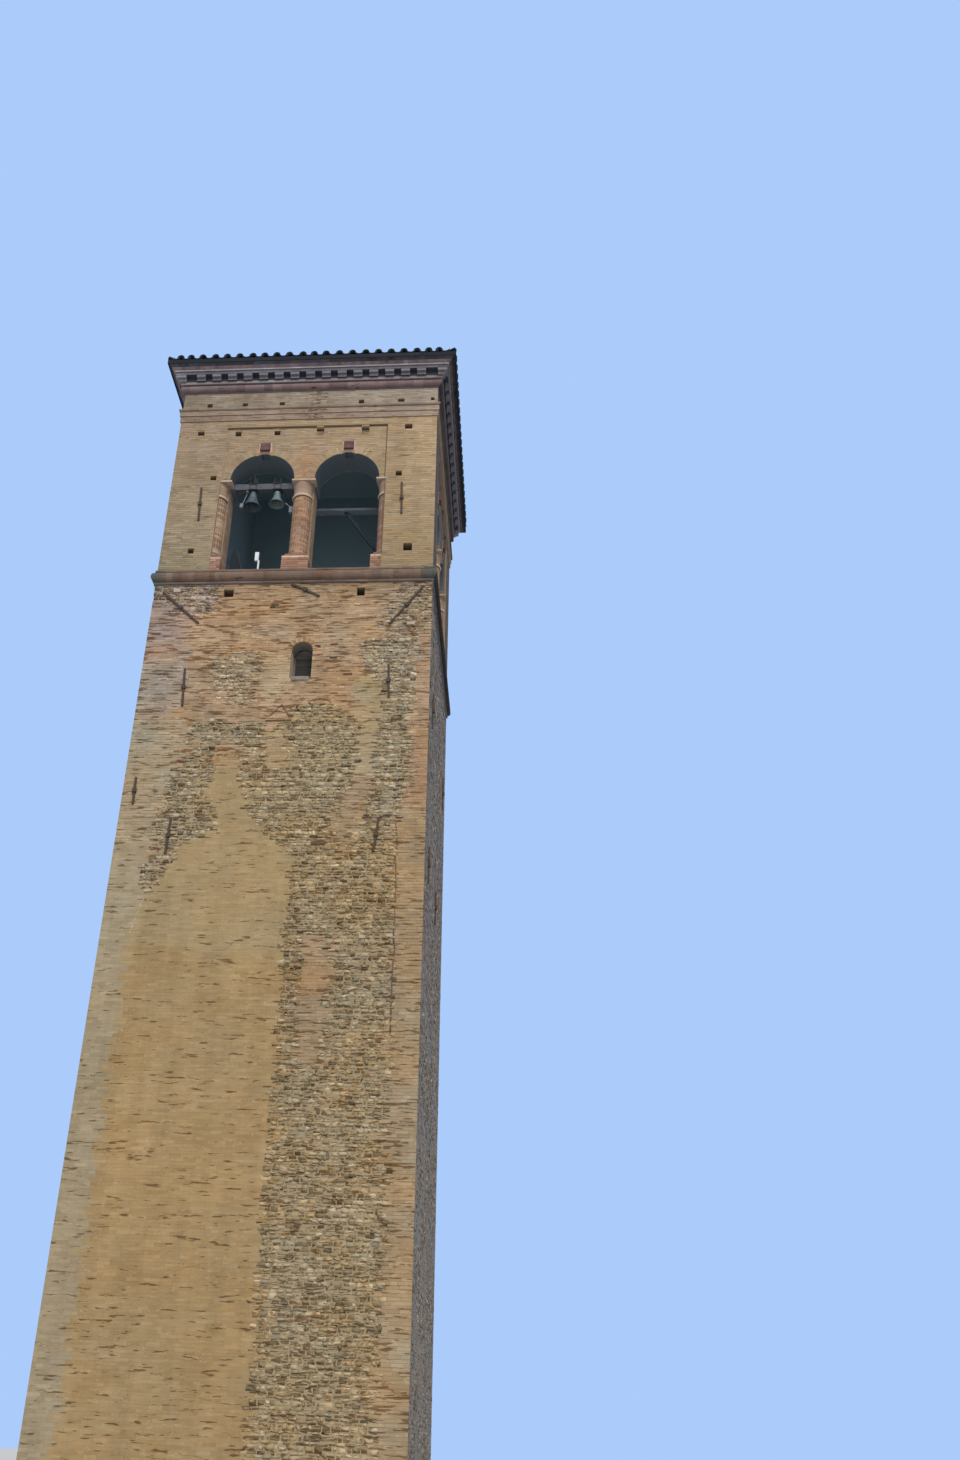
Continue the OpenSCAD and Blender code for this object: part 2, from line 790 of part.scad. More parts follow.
frieze();
cornice_bed_mould();
dentil_course();
cornice_crown();
roof_slope();  // roof_slope_front
on_face(1) roof_slope();  // roof_slope_right
on_face(2) roof_slope();  // roof_slope_back
on_face(3) roof_slope();  // roof_slope_left
roof_hips();
bell_beam();
bell_clamps();
color("slategray") hung_bell(bell_left_dims, bell_left_shape);  // bell_left
color("darkseagreen")  // bell_right
    hung_bell(bell_right_dims, bell_right_shape);
bell_hammer_left();
bell_hammer_right();
cross_plank();
timber_brace();
sill_lamp();
wall_anchors();
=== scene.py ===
import math

import bpy
import numpy as np
from mathutils import Matrix, Vector


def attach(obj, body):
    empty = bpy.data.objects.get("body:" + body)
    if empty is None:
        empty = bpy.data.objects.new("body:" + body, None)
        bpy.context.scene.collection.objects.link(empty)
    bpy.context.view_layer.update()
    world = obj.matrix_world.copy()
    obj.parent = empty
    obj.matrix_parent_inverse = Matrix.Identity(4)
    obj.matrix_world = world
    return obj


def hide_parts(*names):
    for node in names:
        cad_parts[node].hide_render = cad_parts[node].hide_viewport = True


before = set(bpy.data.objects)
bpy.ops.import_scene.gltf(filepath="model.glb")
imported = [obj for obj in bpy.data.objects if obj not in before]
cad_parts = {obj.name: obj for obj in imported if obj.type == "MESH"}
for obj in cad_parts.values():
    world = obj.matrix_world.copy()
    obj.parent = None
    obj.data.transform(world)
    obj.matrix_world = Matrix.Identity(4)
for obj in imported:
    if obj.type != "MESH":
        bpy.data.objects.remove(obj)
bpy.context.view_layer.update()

# The tower's main levels and widths, in metres, as in the part's source
HALF = 3.6
Z_SHAFT, Z_SILL, Z_IMPOST, Z_SPRING = 20.63, 21.07, 24.03, 24.08
Z_ARCHITRAVE, Z_FRIEZE, Z_BED, Z_DENTIL, Z_CROWN = 26.19, 26.64, 27.24, 27.576, 27.746
ARCH_XS, ARCH_R, ARCH_Z = (-1.125, 1.2), 0.885, 24.12
PANEL_X, PANEL_TOP, PANEL_D = 2.25, 25.96, 0.06
COLUMN_R, COLUMN_IN, RESPOND_X = 0.245, 0.305, 2.33
SLIT_X, SLIT_R, SLIT_Z0, SLIT_ARC_Z = 0.405, 0.265, 17.81, 18.575
EAVE, EAVE_Z, APEX_Z, ROOF_SLOPE = 4.14, 28.1045, 29.611, math.radians(20)
INNER = 2.75  # the belfry walls' inner faces
ARCH_RING, SLIT_RING = 0.235, 0.12  # depths of the rings of bricks on end
KEY_HALF, KEY_Z0, KEY_Z1 = 0.165, 25.06, 25.38
FACES = ("front", "right", "back", "left")

# Bricks: usual length, how far the front's and back's courses pass a corner, how deep all are buried
BRICK, CORNER, BURIED = 0.27, 0.012, 0.012
# Roof tiles: length, step from row to row, thickness
TILE, TILE_STEP, TILE_THICK = 0.43, 0.36, 0.013
# Strengths of the sky's glow and of the sun
AMBIENT, SUN = 0.60, 2.75
# Colours are written 0 to 255. Limewash inside the belfry, painted pale and blue as the light of the haze
# there, and the share of grey on the other faces
LINING = (154, 178, 188)
# On the right face the grey share is partly the stone's own grey and partly painted shade.
SIDE_GREYS = {1: 0.75, 2: 0.3, 3: 0.15}

# Putlog holes: middle along the face, middle height, width, height
SHAFT_HOLES = [(-1.645, 20.345, .26, .225), (1.785, 20.335, .205, .245)]
BELFRY_HOLES = [(-2.99, 25.77, .19, .15), (-1.94, 25.77, .165, .15), (-.84, 25.77, .165, .15),
                (.37, 25.81, .2, .16), (1.63, 25.805, .205, .165), (2.83, 25.84, .205, .165),
                (-2.465, 24.165, .165, .15), (2.615, 24.19, .165, .16),
                (-2.805, 21.72, .16, .16), (2.935, 21.725, .23, .235)]
FRIEZE_HOLES = [(-2.85, 26.8, .15, .13), (-1.84, 26.8, .15, .11), (-.78, 26.805, .15, .11),
                (1.47, 26.8, .15, .13), (2.59, 26.805, .18, .11), (3.47, 26.83, .1, .1)]


def put_in(name, data):
    """A new object in the scene."""
    made = bpy.data.objects.new(name, data)
    bpy.context.collection.objects.link(made)
    return made


# Camera, solved from the photo

def aim_camera():
    """Forward comes from yaw and pitch; the frame is then turned by the roll about forward."""
    focal, photo_w, photo_h = 1295.09, 960, 1460
    centre = (400.0, 690.0)
    eye = Vector((5.630, -30.717, 1.6))
    yaw, pitch, roll = -0.100539, 0.525855, 0.0418288
    ahead = Vector((math.sin(yaw) * math.cos(pitch), math.cos(yaw) * math.cos(pitch), math.sin(pitch)))
    right = Vector((math.cos(yaw), -math.sin(yaw), 0.0))
    up = right.cross(ahead)
    right, up = (right * math.cos(roll) + up * math.sin(roll),
                 up * math.cos(roll) - right * math.sin(roll))
    data = bpy.data.cameras.new("photo_camera")
    data.sensor_fit = "VERTICAL"
    data.sensor_height = 36.0
    data.lens = focal / photo_h * data.sensor_height
    data.shift_x = (photo_w / 2 - centre[0]) / photo_h
    data.shift_y = (centre[1] - photo_h / 2) / photo_h
    data.clip_end = 500.0
    camera = put_in("photo_camera", data)
    camera.matrix_world = Matrix((
        (right.x, up.x, -ahead.x, eye.x), (right.y, up.y, -ahead.y, eye.y),
        (right.z, up.z, -ahead.z, eye.z), (0, 0, 0, 1)))
    bpy.context.scene.camera = camera


# Shader maths

def linear(colour):
    """Scene-linear value of a colour written as 0 to 255 on the usual display curve."""
    c = np.asarray(colour, float) / 255
    return np.where(c <= 0.04045, c / 12.92, ((c + 0.055) / 1.055) ** 2.4)


def paint(colour):
    """A shader's form of a colour written 0 to 255. Links and ready colours pass as they are."""
    if isinstance(colour, tuple) and len(colour) == 3:
        return (*map(float, linear(colour)), 1.0)
    return colour


class Wire:
    """A shader socket. Arithmetic on it adds Math nodes to its tree."""

    def __init__(self, nodes, socket):
        self.nodes, self.socket = nodes, socket

    def math(self, kind, *terms, clamp=False):
        return self.nodes.node("ShaderNodeMath", {"operation": kind, "use_clamp": clamp},
                               dict(enumerate(terms)))

    def __add__(self, other): return self.math("ADD", self, other)
    __radd__ = __add__
    def __sub__(self, other): return self.math("SUBTRACT", self, other)
    def __rsub__(self, other): return self.math("SUBTRACT", other, self)
    def __mul__(self, other): return self.math("MULTIPLY", self, other)
    __rmul__ = __mul__
    def __truediv__(self, other): return self.math("DIVIDE", self, other)
    def __rtruediv__(self, other): return self.math("DIVIDE", other, self)
    def __abs__(self): return self.math("ABSOLUTE", self)
    def over(self, other): return self.math("GREATER_THAN", self, other)
    def less(self, other): return self.math("LESS_THAN", self, other)
    def most(self, other): return self.math("MAXIMUM", self, other)
    def least(self, other): return self.math("MINIMUM", self, other)
    def clipped(self): return self.math("ADD", self, 0.0, clamp=True)
    def within(self, low, high): return self.over(low) * self.less(high)

    def rise(self, low, high):
        """0 below low, 1 above high, smooth between."""
        return self.nodes.node("ShaderNodeMapRange", {"interpolation_type": "SMOOTHSTEP"},
                               {0: self, 1: low, 2: high})


class Nodes:
    """A node tree written as expressions, and the node in it that is worn."""

    def __init__(self, owner, worn):
        owner.use_nodes = True
        self.owner, self.tree = owner, owner.node_tree
        self.worn = self.tree.nodes[worn]

    def fill(self, node, values):
        """Puts links or values on a node's inputs."""
        for key, value in values.items():
            if isinstance(value, Wire):
                self.tree.links.new(value.socket, node.inputs[key])
            else:
                node.inputs[key].default_value = value

    def node(self, kind, settings, values, out=0):
        made = self.tree.nodes.new(kind)
        for key, value in settings.items():
            setattr(made, key, value)
        self.fill(made, values)
        if isinstance(out, tuple):
            return [Wire(self, made.outputs[o]) for o in out]
        return Wire(self, made.outputs[out])

    def wear(self, **sockets):
        """Fills in the worn node, whose inputs are named with _ for a space, and gives the owner back."""
        self.fill(self.worn, {key.replace("_", " "): value for key, value in sockets.items()})
        return self.owner


class Finish(Nodes):
    """A material in the making."""

    def __init__(self, name):
        super().__init__(bpy.data.materials.new(name), "Principled BSDF")
        self.place = self.node("ShaderNodeTexCoord", {}, {}, out="Object")

    def split(self, vector):
        return self.node("ShaderNodeSeparateXYZ", {}, {0: vector}, out=("X", "Y", "Z"))

    def facing(self):
        """The three parts of the surface's own direction."""
        return self.split(self.node("ShaderNodeNewGeometry", {}, {}, out="Normal"))

    def noise(self, scale, detail, stretch=None):
        where = self.place
        if stretch:
            where = self.node("ShaderNodeVectorMath", {"operation": "MULTIPLY"}, {0: where, 1: stretch})
        return self.node("ShaderNodeTexNoise", {}, {
            "Vector": where, "Scale": scale, "Detail": detail, "Roughness": 0.55})

    def mix(self, factor, a, b, blend="MIX"):
        return self.node("ShaderNodeMix", {"data_type": "RGBA", "blend_type": blend},
                         {0: factor, 6: paint(a), 7: paint(b)}, out=2)

    def shaded(self, colour, shade):
        """A colour times a number, or times another colour."""
        return self.mix(1.0, colour, shade, "MULTIPLY")

    def bump(self, height, strength, distance):
        return self.node("ShaderNodeBump", {}, {
            "Strength": strength, "Distance": distance, "Height": height}, out="Normal")


def fired_clay(name, grain=0.2, streaks=0.2, soot=0.0, rough=0.88, pale=0.1):
    """Brick with its colour in the mesh's tone: grain, broad patches, rain streaks, lime, soot, pits.

    The tone's fourth number is decay: up to 1.5 it opens level cracks between courses, above that it
    marks rubble, which crumbles into small hollows. Cracks and hollows are painted dark with their shade.
    """
    f = Finish(name)
    tone, decay = f.node("ShaderNodeAttribute", {"attribute_name": "tone"}, {}, out=("Color", "Alpha"))
    fine = f.noise(38.0, 5.0)
    shade = 1.0
    for amount, cloud in ((grain, fine), (streaks, f.noise(1.0, 4.0, (3.1, 3.1, 0.22))),
                          (0.2, f.noise(1.0, 3.0, (2.6, 2.6, 19.0))), (0.16, f.noise(1.1, 4.0))):
        shade = shade + amount * (cloud - 0.5) * 2.0
    colour = f.shaded(tone, shade)
    depth = f.noise(1.0, 5.0, (2.6, 2.6, 18.0)) - 0.665 + 0.1 * decay.least(1.2)
    hollows = f.noise(1.0, 5.0, (9.0, 9.0, 24.0)).rise(0.53, 0.62)
    marks = (depth * 22.0).clipped().most(hollows * decay.over(1.5))
    # Painted shade: the cracks and hollows darkened to a deep brown.
    colour = f.mix(marks * 0.9, colour, f.shaded(colour, (0.38, 0.28, 0.2, 1.0)))
    lime = f.noise(1.0, 6.0, (9.0, 9.0, 22.0)).rise(0.60, 0.72)
    colour = f.mix((lime * (pale + 0.42 * decay * (1.0 - marks))).clipped(), colour, (190, 172, 144))
    dark = f.noise(2.3, 6.0, (1.0, 1.0, 1.6)).rise(0.64, 0.8)
    colour = f.mix(dark * (0.12 + soot), colour, (74, 62, 54))
    height = f.noise(55.0, 5.0) + 0.5 * f.noise(14.0, 3.0) - 2.0 * marks
    return f.wear(Base_Color=colour, Roughness=rough + 0.08 * (fine - 0.5),
                  Specular_IOR_Level=0.2, Normal=f.bump(height, 0.4, 0.006))


def wall_core(name, mortar, brick_a, brick_b, outer=9.0, course=0.07, length=0.28, kind=None):
    """Mortar on the outer planes behind the laid bricks; coursed brick on every reveal and inside.

    Outer is the reach from the tower's middle past which mortar shows, so by default nowhere. Along a
    wall the pattern runs by x or y, whichever the surface faces less, and up it by z. A belfry wall
    has limewashed inner faces painted pale blue as the light of the haze, darker on the left one as
    painted shade, and painted shade on its arch soffits and in the notch under each keystone; a cornice
    has painted shade between its dentils and under its crown; a shaft wall has painted light on the
    left reveal of its slit window and a darker grey of painted shade on the rest of its inside.
    """
    f = Finish(name)
    x, y, z = f.split(f.place)
    nx, ny, nz = f.facing()
    side, level = abs(nx).over(0.7), abs(nz).over(0.7)
    spot = f.node("ShaderNodeCombineXYZ", {}, {0: side * y + (1.0 - side) * x + 20.0,
                                               1: level * y + (1.0 - level) * z + 20.0})
    bricks, joint = f.node("ShaderNodeTexBrick", {"offset": 0.5}, {
        "Vector": spot, "Color1": paint(brick_a), "Color2": paint(brick_b), "Mortar": paint(mortar),
        "Scale": 1.0, "Mortar Size": 0.006, "Mortar Smooth": 0.3, "Brick Width": length,
        "Row Height": course}, out=("Color", "Fac"))
    reach = abs(x).most(abs(y))
    outside = reach.over(outer)
    fine = f.noise(30.0, 4.0)
    colour = f.shaded(f.mix(outside, bricks, mortar), 0.62 + 0.4 * f.noise(1.3, 4.0) + 0.36 * fine)
    if kind in ("belfry", "boards", "cornice"):
        within = reach.less(INNER + 0.01)
        colour = f.mix(within, colour, LINING)
        # Painted shade: the left wall's inner face takes a darker limewash.
        colour = f.mix(within * x.less(-2.6) * nx.over(0.5), colour, (138, 160, 172))
    if kind == "belfry":
        # Painted shade, a bluish grey, on the arch soffits and in the notch under each keystone.
        sloped = abs(nx).most(abs(ny)).less(0.99)
        soffit_shade = z.within(24.1, 25.12) * (1.0 - outside) * sloped * abs(x).least(abs(y)).less(2.2)
        notch = z.within(24.99, 25.08) * (1.0 - outside)
        colour = f.mix(soffit_shade.most(notch) * reach.over(INNER + 0.01), colour, (92, 103, 110))
    if kind == "cornice":
        # Painted shade in the gaps between the dentils and on the crown's soffit over them.
        dentil_gap_shade = z.within(Z_DENTIL - 0.006, Z_CROWN + 0.004) * reach.within(3.0, 3.79)
        under = z.within(Z_CROWN - 0.004, Z_CROWN + 0.004) * nz.less(-0.5)
        colour = f.mix(dentil_gap_shade.most(under), colour, (62, 67, 78))
    if kind == "shaft":
        # Inside the slit window: painted light on the left reveal, a darker grey of painted shade on the
        # rest.
        slot = z.within(SLIT_Z0 - 0.01, 18.9) * (1.0 - outside) * abs(x - SLIT_X).less(0.3)
        lit = x.less(SLIT_X - 0.2) * z.less(SLIT_ARC_Z)
        colour = f.mix(slot, colour, f.mix(lit, (140, 133, 124), (198, 176, 156)))
    return f.wear(Base_Color=colour, Roughness=0.92, Specular_IOR_Level=0.15,
                  Normal=f.bump((1.0 - joint) + 0.4 * fine, 0.6, 0.006))


def old_wood(name, pale, dark, along, under=1.0):
    """Weathered board: grain and cracks along its length, silvered patches, its underside brightened by under
    as painted light.
    """
    f = Finish(name)
    stretch = tuple(0.06 if i == along else 1.0 for i in range(3))
    grain = f.noise(70.0, 5.0, stretch)
    crack = f.noise(26.0, 3.0, stretch).rise(0.62, 0.68)
    colour = f.shaded(f.mix(grain.rise(0.3, 0.7), dark, pale), 0.8 + 0.4 * f.noise(2.5, 3.0))
    colour = f.mix(crack * 0.6, colour, (38, 36, 36))
    # Painted light: faces turned down are brightened by under, as if lit from below.
    colour = f.shaded(colour, 1.0 + (under - 1.0) * f.facing()[2].less(-0.5))
    return f.wear(Base_Color=colour, Roughness=0.8 + 0.12 * grain, Specular_IOR_Level=0.1,
                  Normal=f.bump(grain - crack, 0.5, 0.004))


def pale_stone(name, base, stain, inner=0.0):
    """Dressed stone: cloudy colour, fine pores, dirt in patches, a bluish grey of painted shade within the
    inner reach.
    """
    f = Finish(name)
    cloud = f.noise(4.0, 5.0)
    pores = f.noise(60.0, 4.0)
    dirt = f.noise(7.0, 5.0, (1.0, 1.0, 0.5)).rise(0.5, 0.7)
    colour = f.shaded(base, 0.72 + 0.4 * cloud + 0.16 * pores)
    colour = f.mix(dirt * 0.45, colour, stain)
    x, y, _ = f.split(f.place)
    # Painted shade, a bluish grey, on the stone within the inner reach.
    colour = f.mix(abs(x).most(abs(y)).less(inner), colour, (104, 112, 122))
    return f.wear(Base_Color=colour, Roughness=0.8 + 0.1 * cloud, Specular_IOR_Level=0.3,
                  Normal=f.bump(pores + cloud, 0.35, 0.004))


def patina(name, base, run_off, dark):
    """Bell bronze gone dull: pale rain runs down the sides, dark cloudy patches over them."""
    f = Finish(name)
    run = f.noise(1.0, 4.0, (26.0, 26.0, 1.6))
    cloud = f.noise(7.0, 5.0)
    colour = f.mix(run.rise(0.42, 0.68), base, run_off)
    colour = f.mix(cloud.rise(0.48, 0.72) * 0.7, colour, dark)
    return f.wear(Base_Color=colour, Roughness=0.5 + 0.25 * cloud, Metallic=0.35,
                  Normal=f.bump(cloud + 0.4 * run, 0.25, 0.004))


def iron(name, base, rust, amount):
    """Forged iron: pitted, with rust where the noise is high."""
    f = Finish(name)
    pits = f.noise(45.0, 5.0)
    bloom = f.noise(9.0, 5.0).rise(0.5 - amount, 0.75 - amount)
    colour = f.shaded(f.mix(bloom, base, rust), 0.7 + 0.6 * pits)
    return f.wear(Base_Color=colour, Roughness=0.7 + 0.25 * bloom, Metallic=0.1,
                  Normal=f.bump(pits, 0.6, 0.003))


# Numbers for the laid bricks

def drift(x, z, size, seed):
    """Smooth noise from -1 to 1: random numbers on a square lattice, blended by 3t² - 2t³."""
    table = np.random.default_rng(seed).random((61, 61))
    u, v = np.asarray(x) / size + 7.3, np.asarray(z) / size + 3.1
    i, j = np.floor(u).astype(int), np.floor(v).astype(int)
    u, v = u - i, v - j
    u, v = u * u * (3 - 2 * u), v * v * (3 - 2 * v)
    low = table[i % 61, j % 61] * (1 - u) + table[(i + 1) % 61, j % 61] * u
    high = table[i % 61, (j + 1) % 61] * (1 - u) + table[(i + 1) % 61, (j + 1) % 61] * u
    return 2 * (low * (1 - v) + high * v) - 1


def inside(x, z, outline):
    """Even-odd rule: a point is inside where it has an odd number of the outline's edges on one side."""
    hit = np.zeros(np.shape(x), bool)
    for (xa, za), (xb, zb) in zip(outline, outline[1:] + outline[:1]):
        if za != zb:
            hit ^= ((za > z) != (zb > z)) & (x < (xb - xa) * (z - za) / (zb - za) + xa)
    return hit


def turned(points, k, half=HALF):
    """Face points (along, depth behind the face, height) to the tower's own axes, k quarter turns on."""
    along, out = points[..., 0], points[..., 1] - half
    c, s = [(1, 0), (0, 1), (-1, 0), (0, -1)][k % 4]
    return np.stack([along * c - out * s, along * s + out * c, points[..., 2]], -1)


def face_span(k, out=0.0):
    """Where a face's courses begin and end: the front's and back's pass the corners."""
    reach = HALF + out + (CORNER if k % 2 == 0 else 0.0)
    return -reach, reach


def spans_of(holes):
    """Holes (middle, middle height, width, height) as spans x0, x1, z0, z1."""
    return [(x - w / 2, x + w / 2, z - h / 2, z + h / 2) for x, z, w, h in holes]


# Narrow, even joints of the belfry's courses
FINE = dict(upright=0.002, uneven=0.04)


def lay_courses(span, zone, course, rng, gaps=(), rounds=(), length=BRICK, joint=0.008, upright=0.003,
                uneven=0.1):
    """Bricks of a wall as arrays x0, x1, z0, z1.

    Each course takes cuts from a running bond whose lengths vary; an opening's span is taken out, a
    round head takes out its chord, and what a hole leaves of a course is filled above or below it.
    """
    rows = max(1, round((zone[1] - zone[0]) / course))
    levels = np.linspace(zone[0], zone[1], rows + 1)
    levels[1:-1] += rng.uniform(-uneven, uneven, rows - 1) * course * 0.5
    out = []
    for i in range(rows):
        za, zb = levels[i], levels[i + 1]
        cuts, extra = [], []
        for xa, xb, ga, gb in gaps:
            if za < gb - 0.003 and zb > ga + 0.003:
                cuts.append((xa, xb))
                arched = any(abs((xa + xb) / 2 - cx) < 0.01 and abs(gb - cz) < 0.1 for cx, cz, _ in rounds)
                if xb - xa < 0.8:
                    extra += [(xa, xb, low, high) for low, high in ((za, ga), (gb, za if arched else zb))
                              if high - low > 0.014]
        for cx, cz, r in rounds:
            high = (za + zb) / 2 - cz
            if 0 <= high < r:
                chord = math.sqrt(r * r - high * high)
                cuts.append((cx - chord, cx + chord))
        free, start = [], span[0]
        for xa, xb in sorted(cuts) + [(span[1], span[1])]:
            if xa > start:
                free.append((start, xa))
            start = max(start, xb)
        count = int((span[1] - span[0]) / length * 1.4) + 4
        steps = length * rng.choice([1.0, 1.0, 0.52, 0.93], count) * rng.uniform(0.92, 1.08, count)
        edges = span[0] - length * (0.5 * (i % 2) + rng.uniform(0.05, 0.4)) + np.cumsum(steps)
        for xa, xb, ea, eb in [(a, b, za, zb) for a, b in free] + extra:
            if xb - xa > 0.02:
                ends = [xa, *edges[(edges > xa + 0.045) & (edges < xb - 0.045)], xb]
                out += [(left, right, ea, eb) for left, right in zip(ends, ends[1:])]
    bricks = np.array(out)
    bricks[:, 0] += np.where(bricks[:, 0] > span[0] + 1e-6, upright / 2, 0)
    bricks[:, 1] -= np.where(bricks[:, 1] < span[1] - 1e-6, upright / 2, 0)
    bricks[:, 2] += joint / 2
    bricks[:, 3] -= joint / 2
    return bricks[bricks[:, 1] - bricks[:, 0] > 0.015]


def middles(bricks):
    """Middle and middle height of level bricks."""
    return bricks[:, :2].mean(1), bricks[:, 2:].mean(1)


def corners_of(bricks):
    """The four corners of level bricks, anticlockwise as seen from outside."""
    x0, x1, z0, z1 = bricks.T
    return np.stack([np.stack(corner, -1) for corner in ((x0, z0), (x1, z0), (x1, z1), (x0, z1))], 1)


BLOCK_FACES = np.array([[4, 5, 6, 7], [0, 3, 2, 1], [4, 0, 1, 5], [7, 6, 2, 3], [0, 4, 7, 3], [1, 2, 6, 5]])


def blocks(outlines, tones, out, bevel, k, depth=0.0, half=HALF, buried=BURIED):
    """Closed blocks: a back outline in the wall and a front one drawn in by the bevel.

    Outlines come as four corners each, or as level bricks x0, x1, z0, z1.
    """
    corners = np.asarray(outlines, float)
    if corners.ndim == 2:
        corners = corners_of(corners)
    n = len(corners)
    out, bevel = np.broadcast_to(out, n), np.broadcast_to(bevel, n)
    middle = corners.mean(1, keepdims=True)
    points = np.empty((n, 8, 3))
    points[:, :4, ::2] = corners
    points[:, 4:, ::2] = corners + np.sign(middle - corners) * bevel[:, None, None]
    points[:, :4, 1] = depth + buried
    points[:, 4:, 1] = depth - out[:, None]
    faces = BLOCK_FACES[None] + 8 * np.arange(n)[:, None, None]
    return turned(points, k, half).reshape(-1, 3), faces.reshape(-1, 4), np.repeat(tones, 8, 0)


def mottled_blocks(outlines, mean, spread, out, bevel, k, rng, warmth=0.35, decay=0.2, **place):
    """Blocks in colours drawn round a mean. Out is one number, or the least and the most of a draw."""
    n = len(outlines)
    tones = np.column_stack([linear(mottled(mean, spread, n, rng, warmth)), decay + np.zeros(n)])
    return blocks(outlines, tones, rng.uniform(*out, n) if isinstance(out, tuple) else out, bevel, k, **place)


def ring_blocks(cx, cz, r0, r1, a0, a1, width):
    """Outlines of bricks set on end round an arch: even steps down from one angle to another."""
    a = np.linspace(a0, a1, round((a0 - a1) * (r0 + r1) / 2 / width) + 1)
    trim = 0.004 / r0
    left, right = a[:-1] - trim, a[1:] + trim
    outline = [(r0, left), (r0, right), (r1, right), (r1, left)]
    return np.stack([np.stack([cx + r * np.cos(t), cz + r * np.sin(t)], -1) for r, t in outline], 1)


def bars(points, tones, flip=False):
    """Closed bars from points (bar, first or second end, front or back, place along the form, xyz).

    A bar's four lines of points bound four walls, and its first and last places are closed.
    """
    n, m = len(points), points.shape[3]
    lines = np.arange(4 * m).reshape(4, m)[[0, 2, 3, 1]]
    after = np.roll(lines, -1, 0)
    walls = np.stack([lines[:, :-1], after[:, :-1], after[:, 1:], lines[:, 1:]], -1).reshape(-1, 4)
    faces = np.concatenate([walls, lines[None, [0, 3, 2, 1], 0], lines[None, :, -1]])
    faces = (faces[:, [0, 3, 2, 1]] if flip else faces)[None] + 4 * m * np.arange(n)[:, None, None]
    return points.reshape(-1, 3), faces.reshape(-1, 4), np.repeat(tones, 4 * m, 0)


def arc_blocks(cx, depth, r, a0, a1, z0, z1, out, tones, k):
    """Curved bricks round a column: each a short arc between two radii and two heights."""
    t = a0[:, None] + (a1 - a0)[:, None] * np.linspace(0, 1, 5)[None]
    points = np.empty((len(a0), 2, 2, 5, 3))
    for e, z in enumerate([z0, z1]):
        for b, radius in enumerate([(r + out)[:, None], r - BURIED]):
            points[:, e, b, :, 0] = cx + radius * np.sin(t)
            points[:, e, b, :, 1] = depth - radius * np.cos(t)
            points[:, e, b, :, 2] = z[:, None]
    return bars(turned(points, k), tones, flip=True)


def moulded(profile, cuts, tones, k):
    """Lengths of a moulding: a profile of (projection, height) points carried along a face.

    Each length is closed by a plane behind the wall's face. The first and last are mitred, so that
    a point of the profile ends as far beyond the corner as it stands out from the wall.
    """
    m, half_joint = len(profile), 0.0015
    outs = np.stack([profile[:, 0], np.full(m, -BURIED)], 0)
    points = np.empty((len(cuts) - 1, 2, 2, m, 3))
    points[..., 0] = np.stack([cuts[:-1] + half_joint, cuts[1:] - half_joint], 1)[:, :, None, None]
    points[..., 1] = -outs
    points[:, :, 0, :, 2] = profile[:, 1]
    points[:, :, 1, :, 2] = np.linspace(profile[0, 1], profile[-1, 1], m)
    points[0, 0, :, :, 0] = -HALF - outs
    points[-1, 1, :, :, 0] = HALF + outs
    return bars(turned(points, k), tones)


def gather(parts):
    """Joins (points, faces, tones) groups into one."""
    points, faces, tones, base = [], [], [], 0
    for p, f, t in parts:
        points.append(p)
        faces.append(f + base)
        tones.append(t if t.shape[1] == 4 else np.column_stack([t, np.full(len(t), 0.2)]))
        base += len(p)
    return np.concatenate(points), np.concatenate(faces), np.concatenate(tones)


def piece(name, parts, material, rounded=False):
    """Puts joined groups into one closed mesh with a tone on each corner, riding on the tower.

    Faces are flat, apart from rubble stones, which are marked by their decay, and rounded pieces.
    """
    points, faces, tones = gather(parts)
    mesh = bpy.data.meshes.new(name)
    mesh.vertices.add(len(points))
    mesh.vertices.foreach_set("co", points.astype(np.float32).ravel())
    mesh.loops.add(faces.size)
    mesh.loops.foreach_set("vertex_index", faces.astype(np.int32).ravel())
    mesh.polygons.add(len(faces))
    mesh.polygons.foreach_set("loop_start", np.arange(0, faces.size, 4, dtype=np.int32))
    mesh.polygons.foreach_set("use_smooth", (tones[faces[:, 0], 3] > 1.5) | rounded)
    mesh.update(calc_edges=True)
    tone = mesh.attributes.new("tone", "FLOAT_COLOR", "POINT")
    tone.data.foreach_set("color", tones.astype(np.float32).ravel())
    mesh.materials.append(material)
    made = put_in(name, mesh)
    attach(made, "root")
    return made


# Colours of the masonry

def mottled(mean, spread, n, rng, warmth=0.35):
    """Brick colours round a mean, written 0 to 255: most of the spread is light and dark, some is hue."""
    light = rng.normal(0, 1, (n, 1)).clip(-2.2, 2.2) * spread
    hue = rng.normal(0, 1, (n, 1)).clip(-2, 2) * spread * warmth * np.array([[0.7, 0.0, -0.7]])
    return (np.asarray(mean, float) + light + hue).clip(18, 235)


